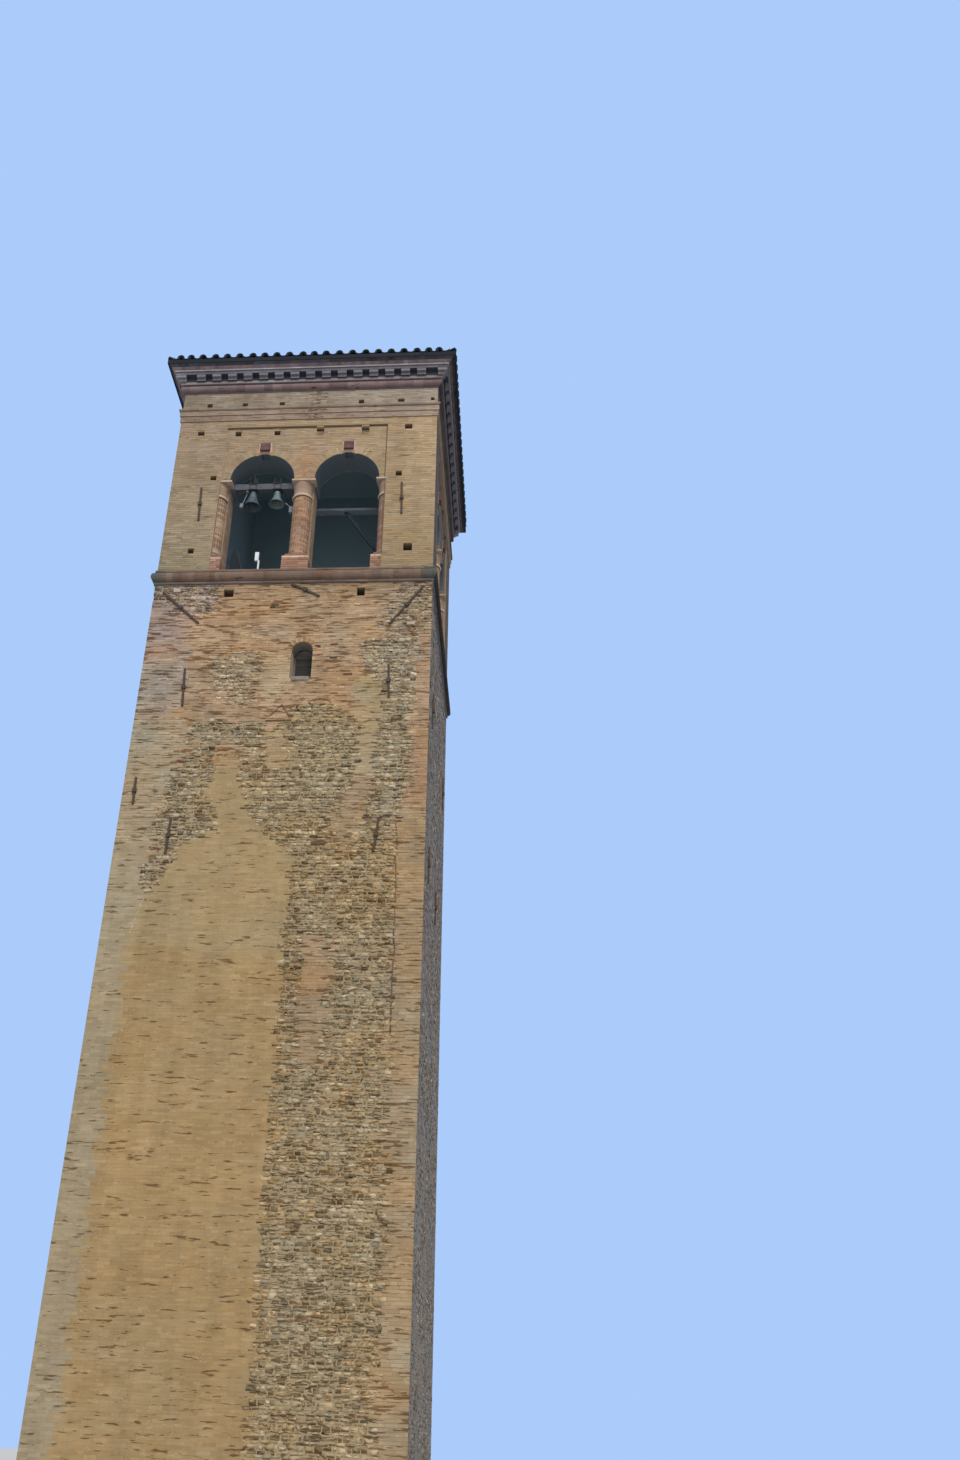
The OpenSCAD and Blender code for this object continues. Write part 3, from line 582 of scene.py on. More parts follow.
# Patches of other work in the front wall, later ones over earlier: outline, kind, mean colour, spread
FRONT_PATCHES = [
    ([(-4, -1), (4, -1), (4, 30), (-4, 30)], "brick", (167, 140, 111), 14),
    ([(-3.65, 20.4), (-2.9, 19.9), (-2.55, 19.5), (-2.45, 18.4), (-2.5, 17.2), (-2.6, 16.6), (-3.65, 16.5)],
     "brick", (160, 143, 126), 14),
    ([(-3.65, 20.4), (-2.9, 19.9), (-2.55, 19.5), (-2.5, 18.5), (-3.65, 18.3)], "brick", (155, 132, 117), 14),
    ([(-2.45, 18.3), (-1.2, 18.2), (-0.6, 17.3), (-0.5, 16.5), (-2.5, 16.5)], "brick", (161, 136, 109), 15),
    ([(0.75, 18.9), (1.9, 18.8), (1.9, 17.2), (0.8, 17.3)], "brick", (160, 134, 107), 15),
    ([(-3.65, 16.6), (-2.3, 16.7), (-2.25, 15.8), (-2.45, 15.0), (-2.7, 14.5), (-2.75, 13.0), (-2.9, 12.6),
      (-3.65, 12.6)], "brick", (160, 145, 121), 11),
    ([(-3.65, 13.4), (-2.8, 13.4), (-2.9, 12.9), (-2.8, 12.2), (-2.95, 11.2), (-3.0, -1), (-3.65, -1)],
     "brick", (158, 143, 117), 8),
    ([(-3.65, 20.64), (-1.95, 20.64), (-1.9, 19.95), (-2.4, 19.6), (-2.9, 19.7), (-3.3, 20.1), (-3.65, 20.2)],
     "rubble", (148, 135, 129), 20),
    ([(-1.85, 18.15), (-1.3, 18.65), (-0.75, 18.65), (-0.6, 18.2), (-0.8, 17.6), (-0.65, 17.1), (-1.2, 17.0),
      (-1.5, 17.3), (-1.75, 17.7)], "rubble", (166, 151, 128), 20),
    ([(-0.55, 18.5), (0.1, 18.45), (0.12, 17.35), (-0.5, 17.3), (-0.6, 17.8)], "brick", (171, 149, 119), 9),
    ([(1.85, 17.9), (2.45, 17.9), (2.45, 16.4), (2.35, 15.9), (2.3, 14.9), (1.8, 14.9), (1.9, 15.6),
      (1.85, 16.6)], "brick", (166, 145, 111), 9),
    ([(1.75, 15.1), (2.4, 15.1), (2.3, 14.4), (2.0, 13.9), (1.9, 13.1), (1.6, 13.0), (1.42, 13.6),
      (1.5, 14.1)], "brick", (151, 129, 102), 13),
    ([(-2.25, 16.55), (-0.35, 16.6), (-0.35, 15.4), (-0.85, 15.3), (-0.85, 16.0), (-1.2, 16.1), (-1.6, 15.9),
      (-1.6, 14.7), (-1.3, 14.1), (-1.3, 13.75), (-1.5, 13.5), (-2.15, 13.3), (-2.2, 13.0), (-2.35, 12.75),
      (-2.6, 12.3), (-2.75, 12.2), (-2.85, 12.85), (-2.6, 13.15), (-2.72, 13.5), (-2.72, 14.0), (-2.5, 14.3),
      (-2.6, 14.9), (-2.25, 15.4), (-2.2, 16.0)], "rubble", (148, 136, 112), 21),
    ([(0.28, 16.95), (0.6, 17.1), (1.2, 17.0), (1.7, 16.9), (1.9, 16.5), (1.88, 15.6), (1.8, 15.0),
      (1.72, 14.4), (1.5, 14.0), (1.42, 13.65), (1.55, 13.2), (1.5, 12.9), (0.5, 13.1), (0.05, 13.55),
      (-0.1, 13.85), (-0.5, 14.05), (-0.72, 14.9), (-0.85, 15.3), (-0.85, 15.9), (-0.35, 16.3), (0.3, 16.6)],
     "rubble", (153, 137, 107), 21),
    ([(0.62, -1), (0.6, 12.9), (0.9, 13.3), (1.6, 12.9), (1.9, 13.3), (1.95, 13.7), (2.2, 14.1), (2.6, 14.1),
      (2.95, 13.9), (2.95, 12.0), (3.0, 9.3), (3.0, -1)], "rubble", (150, 133, 103), 21),
    ([(2.15, 13.6), (2.2, 14.1), (2.35, 14.8), (2.3, 15.3), (2.4, 16.0), (2.5, 16.6), (2.45, 17.6),
      (1.95, 18.0), (1.9, 18.6), (2.1, 18.9), (2.6, 18.95), (3.3, 18.8), (3.2, 17.6), (3.15, 16.5),
      (3.25, 15.6), (3.22, 15.0), (2.97, 14.0), (2.97, 13.2)], "rubble", (150, 139, 116), 23),
    ([(1.9, 18.6), (2.1, 18.9), (2.6, 18.95), (3.3, 18.8), (3.2, 17.6), (2.5, 17.6), (1.95, 18.0)],
     "rubble", (158, 147, 127), 23),
    ([(2.3, 19.3), (2.55, 19.9), (3.0, 20.64), (3.65, 20.64), (3.65, 19.2), (3.2, 18.9), (2.6, 18.9)],
     "rubble", (151, 133, 111), 27),
    ([(-0.33, 15.35), (-0.33, 16.1), (-0.15, 16.35), (0.1, 16.35), (0.3, 16.1), (0.3, 15.35)],
     "brick", (156, 134, 102), 11),
    ([(0.95, 11.2), (1.65, 11.2), (1.65, 9.8), (1.6, 8.2), (0.95, 8.4)], "brick", (154, 128, 97), 12),
    ([(3.3, 19.1), (3.7, 19.1), (3.7, 14.0), (3.0, 14.0), (3.25, 15.0), (3.28, 16)],
     "brick", (167, 138, 111), 11),
    ([(3.28, 17.0), (3.7, 17.0), (3.7, 14.0), (3.0, 14.0), (3.25, 15.0)], "brick", (158, 129, 102), 11),
    ([(2.98, 14.3), (3.7, 14.3), (3.7, -1), (3.02, -1), (3.0, 12.0)], "brick", (158, 136, 107), 10),
    ([(-1.6, 15.2), (-1.6, 15.7), (-1.5, 15.98), (-1.3, 16.05), (-1.1, 15.95), (-0.88, 15.6), (-0.87, 15.1)],
     "brick", (163, 138, 107), 12),
    ([(-1.62, 15.3), (-0.86, 15.3), (-0.72, 14.9), (-0.55, 14.3), (-0.5, 14.05), (-0.1, 13.85), (0.05, 13.5),
      (0.55, 13.2), (0.62, 12.8), (0.62, -1), (-3.0, -1), (-2.95, 11.2), (-2.75, 12.0), (-2.55, 12.3),
      (-2.3, 12.85), (-2.15, 13.1), (-2.1, 13.45), (-1.5, 13.55), (-1.3, 13.75), (-1.3, 14.1), (-1.6, 14.5)],
     "brick", (163, 141, 105), 6),
    ([(-2.9, 10.9), (0.62, 10.7), (0.62, -1), (-2.95, -1)], "brick", (161, 136, 98), 7),
]
# Single stones in the front wall: middle, height, half width, half height, colour
FRONT_STONES = [
    (1.17, 13.38, .18, .045, (96, 74, 56)), (1.81, 12.46, .09, .035, (80, 66, 50)),
    (.9, 11.26, .07, .035, (84, 68, 52)), (1.53, 10.89, .1, .03, (82, 66, 50)),
    (2.37, 10.43, .07, .035, (82, 66, 52)), (-1.68, 14.09, .12, .03, (84, 70, 54)),
    (2.8, 14.8, .08, .035, (174, 163, 142)), (2.28, 11.15, .08, .03, (168, 158, 136)),
    (2.9, 11.18, .08, .035, (172, 162, 140)), (-1.89, 15.13, .07, .035, (168, 158, 138)),
    (1.27, 13.83, .07, .03, (172, 160, 140)), (3.1, 19.35, .12, .05, (170, 156, 138)),
    (-3.02, 20.45, .1, .06, (168, 156, 150)), (-2.62, 12.2, .1, .03, (176, 164, 140)),
    (-1.3, 15.8, .14, .03, (150, 104, 70)), (-.4, 19.97, .11, .03, (112, 98, 72)),
    (-.46, 19.91, .07, .02, (96, 86, 60)), (1.2, 18.76, .09, .02, (150, 92, 58)),
    (.78, 18.7, .08, .018, (92, 70, 52)), (1.2, 18.36, .09, .016, (98, 76, 56)),
    (1.6, 17.88, .12, .018, (104, 80, 58)), (-0.02, 16.59, .33, .02, (112, 88, 64)),
    (.81, 19.48, .085, .018, (196, 170, 144)), (1.07, 19.37, .12, .018, (198, 172, 146)),
    (1.43, 19.26, .11, .018, (196, 170, 144)), (1.72, 19.94, .1, .018, (194, 168, 140)),
    (.74, 19.26, .065, .018, (194, 168, 140)), (-.6, 19.15, .12, .018, (186, 164, 138)),
    (-.86, 19.36, .1, .018, (184, 164, 138)), (2.44, 19.94, .1, .022, (190, 172, 150)),
    (-1.22, 18.53, .12, .03, (182, 168, 150)),
]
# Patches of the other faces, whose places come from noise: kind, mean colour, spread
SIDE_PATCHES = [("rubble", (138, 128, 112), 24), ("brick", (152, 134, 110), 15),
                ("brick", (157, 137, 104), 9), ("brick", (152, 133, 106), 13),
                ("rubble", (142, 130, 108), 20)]


def patch_of(x, z, k):
    """Which patch each point of a face lies in, their borders roughened, and the face's patches."""
    seed = 40 * k
    xe, ze = (v + 0.07 * drift(x, z, 0.35, seed + i) + 0.03 * drift(x, z, 0.12, seed + i + 1)
              for v, i in ((x, 1), (z, 3)))
    if k == 0:
        which = np.zeros(len(x), int)
        for i, (outline, *_) in enumerate(FRONT_PATCHES):
            which[inside(xe, ze, outline)] = i
        return which, [patch[1:] for patch in FRONT_PATCHES]
    blend = drift(xe, ze * 0.8, 1.9, seed + 5) + 0.6 * drift(xe, ze, 0.8, seed + 6)
    low = ze < 10.5 + 1.2 * drift(xe, ze, 2.3, seed + 7)
    edge = np.abs(xe) > 3.15 + 0.15 * drift(xe, ze, 0.5, seed + 8)
    which = np.select([edge, blend > 0.28, blend < -0.55, low], [3, 0, 4, 2], 1)
    grey = SIDE_GREYS[k]
    return which, [(kind, np.array(mean) * (1 - grey) + np.array((128, 124, 124)) * grey, spread)
                   for kind, mean, spread in SIDE_PATCHES]


# Laid pieces

def shaft_skin(k):
    """Bricks in courses over the sound parts of a face, larger uneven stones over the rest."""
    rng = np.random.default_rng(100 + k)
    windowed, ring_r, sill, sill_h = k % 2 == 0, SLIT_R + SLIT_RING, 0.22, 0.085
    span, zone = face_span(k), (0.0, Z_SHAFT)
    gaps, rounds = spans_of(SHAFT_HOLES), []
    if windowed:
        gaps += [(SLIT_X - SLIT_R, SLIT_X + SLIT_R, SLIT_Z0, SLIT_ARC_Z),
                 (SLIT_X - sill, SLIT_X + sill, SLIT_Z0 - sill_h, SLIT_Z0)]
        rounds = [(SLIT_X, SLIT_ARC_Z, ring_r)]
    groups = []
    for rubble, course, bond in ((False, 0.07, dict(joint=0.004, upright=0.002, uneven=0.08)),
                                 (True, 0.078, dict(length=0.17, joint=0.005, upright=0.008, uneven=0.8))):
        laid = lay_courses(span, zone, course, rng, gaps, rounds, **bond)
        x, z = middles(laid)
        which, patches = patch_of(x, z, k)
        kinds = np.array([kind == "rubble" for kind, _, _ in patches])
        keep = kinds[which] == rubble
        for end in laid[:, 0], laid[:, 1]:
            other = patch_of(end, z, k)[0]
            reach = (kinds[other] == rubble) & ~keep
            which[reach], keep = other[reach], keep | reach
        laid, x, z, which = laid[keep], x[keep], z[keep], which[keep]
        n = len(laid)
        mean = np.array([mean for _, mean, _ in patches], float)[which]
        spread = np.array([spread for *_, spread in patches], float)[which]
        sound = spread < 9
        if not rubble:
            mean = mean * np.where(sound, 0.93, 0.965)[:, None]
        colour = mottled(mean, spread[:, None] * (0.6 if rubble else 0.48), n, rng)
        colour += np.where(sound, 2, 6)[:, None] * drift(x * 0.7, z, 0.42, 70 + k)[:, None]
        colour += (np.where(sound, 3, 8)[:, None] * drift(x * 0.8, z, 0.6, 71 + k)[:, None]
                   * ([0.7, -0.1, -0.9] if rubble else [0.6, -0.2, -0.9]))
        laid[sound] += (-0.0005, 0.0005, -0.0015, 0.0015)
        corners = corners_of(laid)
        odd = rng.random(n)
        if rubble:
            corners = corners + rng.normal(0, 0.013, corners.shape)
            colour += (6, 5, 4)
            out, bevel = rng.uniform(0.002, 0.03, n) * (0.4 if k == 1 else 1.0), 0.014
            colour[odd < 0.1] *= 0.78
            colour[odd > 0.93] += 20
            decay = np.full(n, 2.0)
        else:
            out = np.where(sound, rng.uniform(0.002, 0.003, n), rng.uniform(0.002, 0.006, n))
            out[(odd > 0.9) & ~sound] = 0.014
            bevel = np.where(sound, 0.0, 0.001)
            decay = np.where(sound, 0.5, np.minimum(0.8 + 0.08 * (spread - 9), 1.25))
        # Darker towards the string course above.
        top_darkening = np.clip(1 - (Z_SHAFT - z) / 0.9, 0, 1)[:, None] ** 2
        colour *= 1 - 0.16 * top_darkening
        corners[..., 1] = corners[..., 1].clip(0.002, Z_SHAFT)
        groups.append(blocks(corners, np.column_stack([linear(colour.clip(20, 240)), decay]), out, bevel, k))
    if windowed:
        head = ring_blocks(SLIT_X, SLIT_ARC_Z, SLIT_R + 0.004, ring_r, math.pi, 0, 0.066)
        groups.append(mottled_blocks(head, (160, 128, 98), 16, 0.012, 0.002, k, rng))
    return groups + (front_marks(rng) if k == 0 else [])


def slit_shutters():
    """A dark boarded shutter in each slit window's frame: level strips cut to the round head, painted lighter
    up the head against its deeper shade.
    """
    r = 0.235
    levels = np.concatenate([[SLIT_Z0 + 0.03, 18.1, 18.36],
                             SLIT_ARC_Z + r * np.sin(np.radians([0, 18, 36, 54, 70, 84]))])
    high = (levels[:-1] + levels[1:]) / 2 - SLIT_ARC_Z
    half = np.sqrt(r ** 2 - high.clip(0, r - 0.001) ** 2)
    strips = np.stack([SLIT_X - half, SLIT_X + half, levels[:-1], levels[1:]], -1)
    # Painted light: the strips grow lighter up the head, which lies deeper in shade.
    tones = linear([(50, 48, 43), (51, 50, 47), (59, 58, 55), (98, 96, 90), (108, 106, 100), (122, 120, 113),
                    (140, 138, 130), (150, 147, 139)])
    return [blocks(strips, tones, 0.003, 0.0, k, depth=0.385, buried=0.003) for k in (0, 2)]


# Marks on the front wall. Heads of blocked windows: middle, height, radii, angles, colour
FRONT_HEADS = [(0.95, 16.73, 0.435, 0.455, 130, 52, (100, 80, 60)),
               (0.95, 16.73, 0.46, 0.515, 129, 50, (158, 128, 98))]
# Cracks, a broken relieving arch and straight joints: line, colour, width, how far they stand out
FRONT_LINES = [
    ([(-2.86, 12.85), (-2.81, 12.6), (-2.76, 12.37), (-2.62, 12.21)], (174, 164, 142), 0.04, 0.012),
    ([(-2.7, 12.1), (-2.83, 11.7), (-2.94, 11.2)], (168, 156, 132), 0.02, 0.008),
    ([(-0.28, 16.69), (0.02, 17.03)], (122, 102, 82), 0.03, 0.03),
    ([(0.02, 17.03), (0.24, 16.71)], (122, 102, 82), 0.03, 0.03),
    ([(0.62, 9.0), (0.63, 11.0), (0.62, 12.8)], (128, 108, 82), 0.016, 0.008),
    ([(3.0, 9.0), (2.98, 11.8), (2.94, 14.1)], (98, 84, 68), 0.032, 0.016),
]


def front_marks(rng):
    """The front wall's own marks: blocked windows' heads, lines of uneven width, single odd stones."""
    groups = []
    for cx, cz, r0, r1, a0, a1, colour in FRONT_HEADS:
        ring = ring_blocks(cx, cz, r0, r1, math.radians(a0), math.radians(a1), 0.066)
        groups.append(mottled_blocks(ring, colour, 12, 0.018, 0.003, 0, rng))
    for line, colour, wide, out in FRONT_LINES:
        line = np.array(line)
        run = np.linspace(0, len(line) - 1, 9 * (len(line) - 1) + 1)
        px = np.interp(run, range(len(line)), line[:, 0]) + rng.normal(0, 0.012, len(run))
        pz = np.interp(run, range(len(line)), line[:, 1])
        half = wide / 2 * rng.uniform(0.5, 1.2, len(run))
        slope = np.abs(np.gradient(px)) > np.abs(np.gradient(pz))
        dx, dz = np.where(slope, 0, half), np.where(slope, half, 0)
        one, two = np.stack([px - dx, pz - dz], -1), np.stack([px + dx, pz + dz], -1)
        quad = np.stack([one[:-1], two[:-1], two[1:], one[1:]], 1)
        wide_way, long_way = quad[:, 1] - quad[:, 0], quad[:, 3] - quad[:, 0]
        area = wide_way[:, 0] * long_way[:, 1] - wide_way[:, 1] * long_way[:, 0]
        quad[area < 0] = quad[area < 0][:, ::-1]
        groups.append(mottled_blocks(quad, colour, 7, out, 0.001, 0, rng))
    corners = corners_of(np.array([(x - w, x + w, z - h, z + h) for x, z, w, h, _ in FRONT_STONES]))
    corners = corners + rng.normal(0, 0.012, corners.shape)
    groups.append(blocks(corners, linear([colour for *_, colour in FRONT_STONES]), 0.033, 0.012, 0))
    return groups


def belfry_mean(x, z, k):
    """Yellow ochre, browner to the left and the sill, redder over the middle; on the right face a dark grey
    of painted shade.
    """
    right = np.clip((x + HALF) / (2 * HALF), 0, 1)[:, None]
    high = np.clip((z - Z_SILL) / 5.1, 0, 1)[:, None] ** 0.7
    low = (1 - right) * (134, 124, 103) + right * (152, 131, 101)
    top = (1 - right) * (150, 130, 110) + right * (166, 143, 114)
    red = np.exp(-((x - 0.05) / 0.3) ** 2 - ((z - 24.5) / 0.7) ** 2)
    mean = low * (1 - high) + top * high + red[:, None] * (4, -10, -12)
    mean = mean + 5 * drift(x, z, 0.9, 205)[:, None] + 3 * drift(x * 0.2, z, 0.25, 206)[:, None]
    # On the right face most of the colour is a dark grey: painted shade.
    return 0.15 * mean + 0.85 * np.array((82, 77, 76)) if k == 1 else mean


def belfry_skin(k):
    """Fine bricks over the corner piers, and over the sunk panel round its two arches."""
    rng = np.random.default_rng(200 + k)
    ring_r, holes = ARCH_R + ARCH_RING, spans_of(BELFRY_HOLES)
    # The bricks leave out each keystone, and the ring with its ends on the imposts
    keys = [(cx - KEY_HALF, cx + KEY_HALF, KEY_Z0, KEY_Z1) for cx in ARCH_XS]
    notches = [(cx - ring_r, cx + ring_r, Z_SPRING, ARCH_Z + 0.06) for cx in ARCH_XS]
    groups = []
    for span, zone, gaps, rounds, depth in (
            (face_span(k), (Z_SILL, Z_ARCHITRAVE), [(-PANEL_X, PANEL_X, Z_SILL, PANEL_TOP)], [], 0.0),
            ((-PANEL_X, PANEL_X), (Z_SPRING, PANEL_TOP), keys + notches,
             [(cx, ARCH_Z, ring_r) for cx in ARCH_XS], PANEL_D)):
        laid = lay_courses(span, zone, 0.062, rng, holes + gaps, rounds, joint=0.006, **FINE)
        groups.append(mottled_blocks(laid, belfry_mean(*middles(laid), k), 6, (0.003, 0.006), 0.0015, k, rng,
                                     0.5, depth=depth))
    # Painted shade under the panel's top edge and down its right one, a dark strip of painted shade beside
    # the right opening, and painted light on the left edge
    edges = [(-PANEL_X, PANEL_X, PANEL_TOP - 0.028, PANEL_TOP),
             (PANEL_X - 0.03, PANEL_X, Z_SPRING, PANEL_TOP)]
    groups.append(mottled_blocks(edges, (108, 86, 68), 5, 0.0085, 0.001, k, rng, depth=PANEL_D))
    groups.append(blocks([(PANEL_X + 0.002, PANEL_X + 0.02, 21.56, Z_SPRING - 0.06)],
                         linear([(100, 78, 62)]), 0.0085, 0.001, k))
    groups.append(blocks([(-HALF, PANEL_D - HALF, Z_SPRING, PANEL_TOP)], linear([(214, 184, 158)]),
                         0.001, 0.0, k + 1, half=-PANEL_X, buried=0.004))
    for cx in ARCH_XS:
        ring = ring_blocks(cx, ARCH_Z, ARCH_R + 0.004, ring_r, math.pi, 0, 0.068)
        x = ring.mean(1)[:, 0]
        ring = ring[(np.abs(x - cx) > 0.2) & (np.abs(x) < PANEL_X)]
        groups.append(mottled_blocks(ring, belfry_mean(*ring.mean(1).T, k), 7, (0.004, 0.007), 0.0015, k, rng,
                                     0.5, depth=PANEL_D))
        # A pale rim round the keystone, and a pale brick on each side of it
        for mean, spread, out, rects in (
                ((192, 164, 148), 6, 0.010,
                 [(-0.18, -0.137, 25.07, 25.395), (0.137, 0.18, 25.07, 25.395),
                  (-0.137, 0.137, 25.352, 25.395), (-0.137, 0.137, 25.068, 25.106)]),
                ((160, 134, 106), 8, 0.008, [(-0.24, -0.175, 24.96, 25.2), (0.175, 0.24, 24.96, 25.2)])):
            groups.append(mottled_blocks(np.array(rects) + (cx, cx, 0, 0), mean, spread, out, 0.002, k, rng,
                                         depth=PANEL_D))
    return groups


def reveal_skin(k):
    """Brick linings of the openings' jambs, from the columns back to the inner face."""
    rng = np.random.default_rng(300 + k)
    # The left face's reveals take a dark grey: painted shade.
    mean = ((164, 140, 120), (182, 164, 152), (160, 138, 118), (78, 78, 80))[k]
    near = HALF - COLUMN_IN
    groups = []
    for turn, half, span in ((1, -2.05, (-near, -INNER)), (3, 0.24, (INNER, near)),
                             (1, 0.29, (-near, -INNER)), (3, -2.085, (INNER, near))):
        laid = lay_courses(span, (Z_SILL, Z_IMPOST), 0.07, rng)
        groups.append(mottled_blocks(laid, mean, 7, (0.002, 0.006), 0.002, k + turn, rng, half=half))
    return groups


def column_skin(k):
    """Curved bricks up the three half columns: about a third of the round each, joints dark between."""
    rng = np.random.default_rng(400 + k)
    edge = math.asin((RESPOND_X - PANEL_X) / COLUMN_R)
    groups, rows = [], 28
    levels = np.linspace(21.6, 23.56, rows + 1)
    for cx, a0, a1, mean in ((-RESPOND_X, edge, math.pi / 2, (160, 135, 114)),
                             (0.0, -math.pi / 2, math.pi / 2, (156, 124, 100)),
                             (RESPOND_X, -math.pi / 2, -edge, (149, 122, 104))):
        arcs, count = [], 3 if cx == 0 else 1
        for i in range(rows):
            cuts = np.linspace(a0, a1, count + 1)
            cuts[1:-1] += (0.26 if i % 2 else -0.26) + rng.uniform(-0.1, 0.1, count - 1)
            arcs += [(start + 0.01, end - 0.01, levels[i] + 0.0015, levels[i + 1] - 0.0015)
                     for start, end in zip(cuts, cuts[1:])]
        tones = linear(mottled(mean, 9, len(arcs), rng, 0.5))
        groups.append(arc_blocks(cx, COLUMN_IN, COLUMN_R, *np.array(arcs).T,
                                 rng.uniform(0.001, 0.004, len(arcs)), tones, k))
    return groups


def torus(x, y, z, r, thick, tone, tall=1.0, around=40, section=8):
    """A round ring: a small round section carried round an upright axis."""
    a = np.linspace(0, 2 * math.pi, around, endpoint=False)[:, None]
    b = np.linspace(0, 2 * math.pi, section, endpoint=False)[None]
    reach = r + thick * np.cos(b)
    points = np.stack([x + reach * np.cos(a), y + reach * np.sin(a),
                       np.broadcast_to(z + tall * thick * np.sin(b), (around, section))], -1)
    i, j = np.meshgrid(np.arange(around), np.arange(section), indexing="ij")
    at = lambda p, q: (p % around) * section + q % section
    faces = np.stack([at(i, j), at(i + 1, j), at(i + 1, j + 1), at(i, j + 1)], -1)
    return points.reshape(-1, 3), faces.reshape(-1, 4), np.tile(linear(tone), (around * section, 1))


def ring_skin(k):
    """The pale ring under each capital, over a dark ring of painted shadow."""
    groups = []
    for cx in (-RESPOND_X, 0.0, RESPOND_X):
        x, y, _ = turned(np.array([cx, COLUMN_IN, 0.0]), k)
        # The thin dark ring under the pale one is its painted shadow.
        groups += [torus(x, y, 23.59, 0.25, 0.038, (204, 178, 156)),
                   torus(x, y, 23.545, 0.246, 0.015, (78, 60, 54), section=6)]
    return groups


def base_skin(k):
    """Bricks round the column bases, red brown, with a pale course at the top edge."""
    rng = np.random.default_rng(500 + k)
    groups = []
    for turn, half, span in ((0, 3.62, (-0.352, 0.352)), (0, 3.62, (-PANEL_X, -1.978)),
                             (0, 3.62, (1.978, PANEL_X)), (1, 0.35, (-3.622, -3.3)),
                             (3, 0.35, (3.3, 3.622)), (1, -1.98, (-3.622, -3.3)), (3, -1.98, (3.3, 3.622))):
        laid = lay_courses(span, (Z_SILL, 21.5), 0.0717, rng, length=0.26)
        mean = np.where(middles(laid)[1][:, None] > 21.43, (186, 154, 134), (148, 114, 97))
        groups.append(mottled_blocks(laid, mean, 10, (0.003, 0.009), 0.003, k + turn, rng, half=half))
    return groups


def mould_skin(k, seed, rows, mossy=False):
    """Moulded bricks laid over the CAD mouldings: each row a profile, a brick length, a colour and spread.

    Joints divide a moulding evenly from corner to corner, each moved a little.
    """
    rng = np.random.default_rng(seed + k)
    groups = []
    for profile, length, mean, spread in rows:
        reach = HALF + profile[:, 0].max()
        count = round(2 * reach / length)
        cuts = np.linspace(-reach, reach, count + 1)
        cuts[1:-1] += rng.uniform(-0.1, 0.1, count - 1) * length
        middle = (cuts[:-1] + cuts[1:]) / 2
        colour = mottled(mean, spread, count, rng, 0.5)
        colour += 5 * drift(middle, profile[0, 1], 1.1, seed)[:, None]
        # Painted shade: on the right face the rolls and the wave are darker.
        if k == 1 and np.ptp(profile[:, 0]) > 0:
            colour *= 0.6
        if mossy:
            moss = ((np.abs(middle) - 3.25) / 0.3).clip(0, 1)[:, None] * (0.9 if k < 2 else 0.4)
            # Moss at the corners; on the right face the whole string darker as painted shade.
            colour = (colour * (1 - moss) + moss * (80, 84, 80)) * (0.72 if k == 1 else 1.0)
        groups.append(moulded(profile, cuts, linear(colour.clip(20, 230)), k))
    return groups


def corner_dentils(k):
    """The block under the crown at a face's right corner, in two steps like the dentils."""
    step, start, outs = 27.661, HALF + CORNER, (0.205, 0.275)
    steps = [(start, HALF + outs[0], Z_DENTIL, step), (start, HALF + outs[1], step, Z_CROWN)]
    return [blocks(steps, linear([(128, 125, 132)] * 2), outs, 0.0, k)]


def roll(centre_out, centre_z, r):
    """Points round a roll, from 75 degrees under the level of its middle to 75 over it."""
    a = np.radians(np.linspace(-75, 75, 9))
    return np.stack([centre_out + r * np.cos(a), centre_z + r * np.sin(a)], -1)


def flat(out, z0, z1):
    return np.array([(out, z0 + 0.003), (out, z1 - 0.003)])


def crown_wave(start, end):
    """The crown's wave, as in the part's source: a straight rise with one turn of a sine taken off."""
    t = np.linspace(start, end, 6)
    return np.stack([0.319 + 0.155 * t, 27.887 + 0.11 * (t - 0.11 * np.sin(2 * np.pi * t))], -1)


# Moulded bricks from the bottom up: profile, brick length, mean colour, spread
STRING_ROWS = [(flat(0.049, Z_SHAFT, 20.69), 0.28, (102, 86, 76), 5),
               (roll(-0.03, 20.85, 0.164), 0.14, (110, 90, 78), 5),
               (flat(0.049, 21.01, Z_SILL), 0.28, (112, 94, 82), 5)]
ARCHITRAVE_ROWS = [(roll(0.055, 26.595, 0.048), 0.28, (134, 118, 105), 5)]
CORNICE_ROWS = [(flat(0.033, Z_BED, 27.27), 0.28, (104, 92, 88), 5),
                (roll(0.015, 27.38, 0.114), 0.27, (119, 100, 101), 6),
                (flat(0.144, 27.49, Z_DENTIL), 0.28, (136, 126, 126), 5),
                (flat(0.283, Z_CROWN, 27.836), 0.28, (112, 109, 116), 6),
                (flat(0.319, 27.836, 27.89), 0.28, (186, 182, 186), 5),
                (crown_wave(0.02, 0.5), 0.135, (138, 118, 120), 8),
                # The wave's upper half, under the eave, is painted dark grey: painted shade.
                (crown_wave(0.5, 0.97), 0.27, (74, 74, 84), 6)]


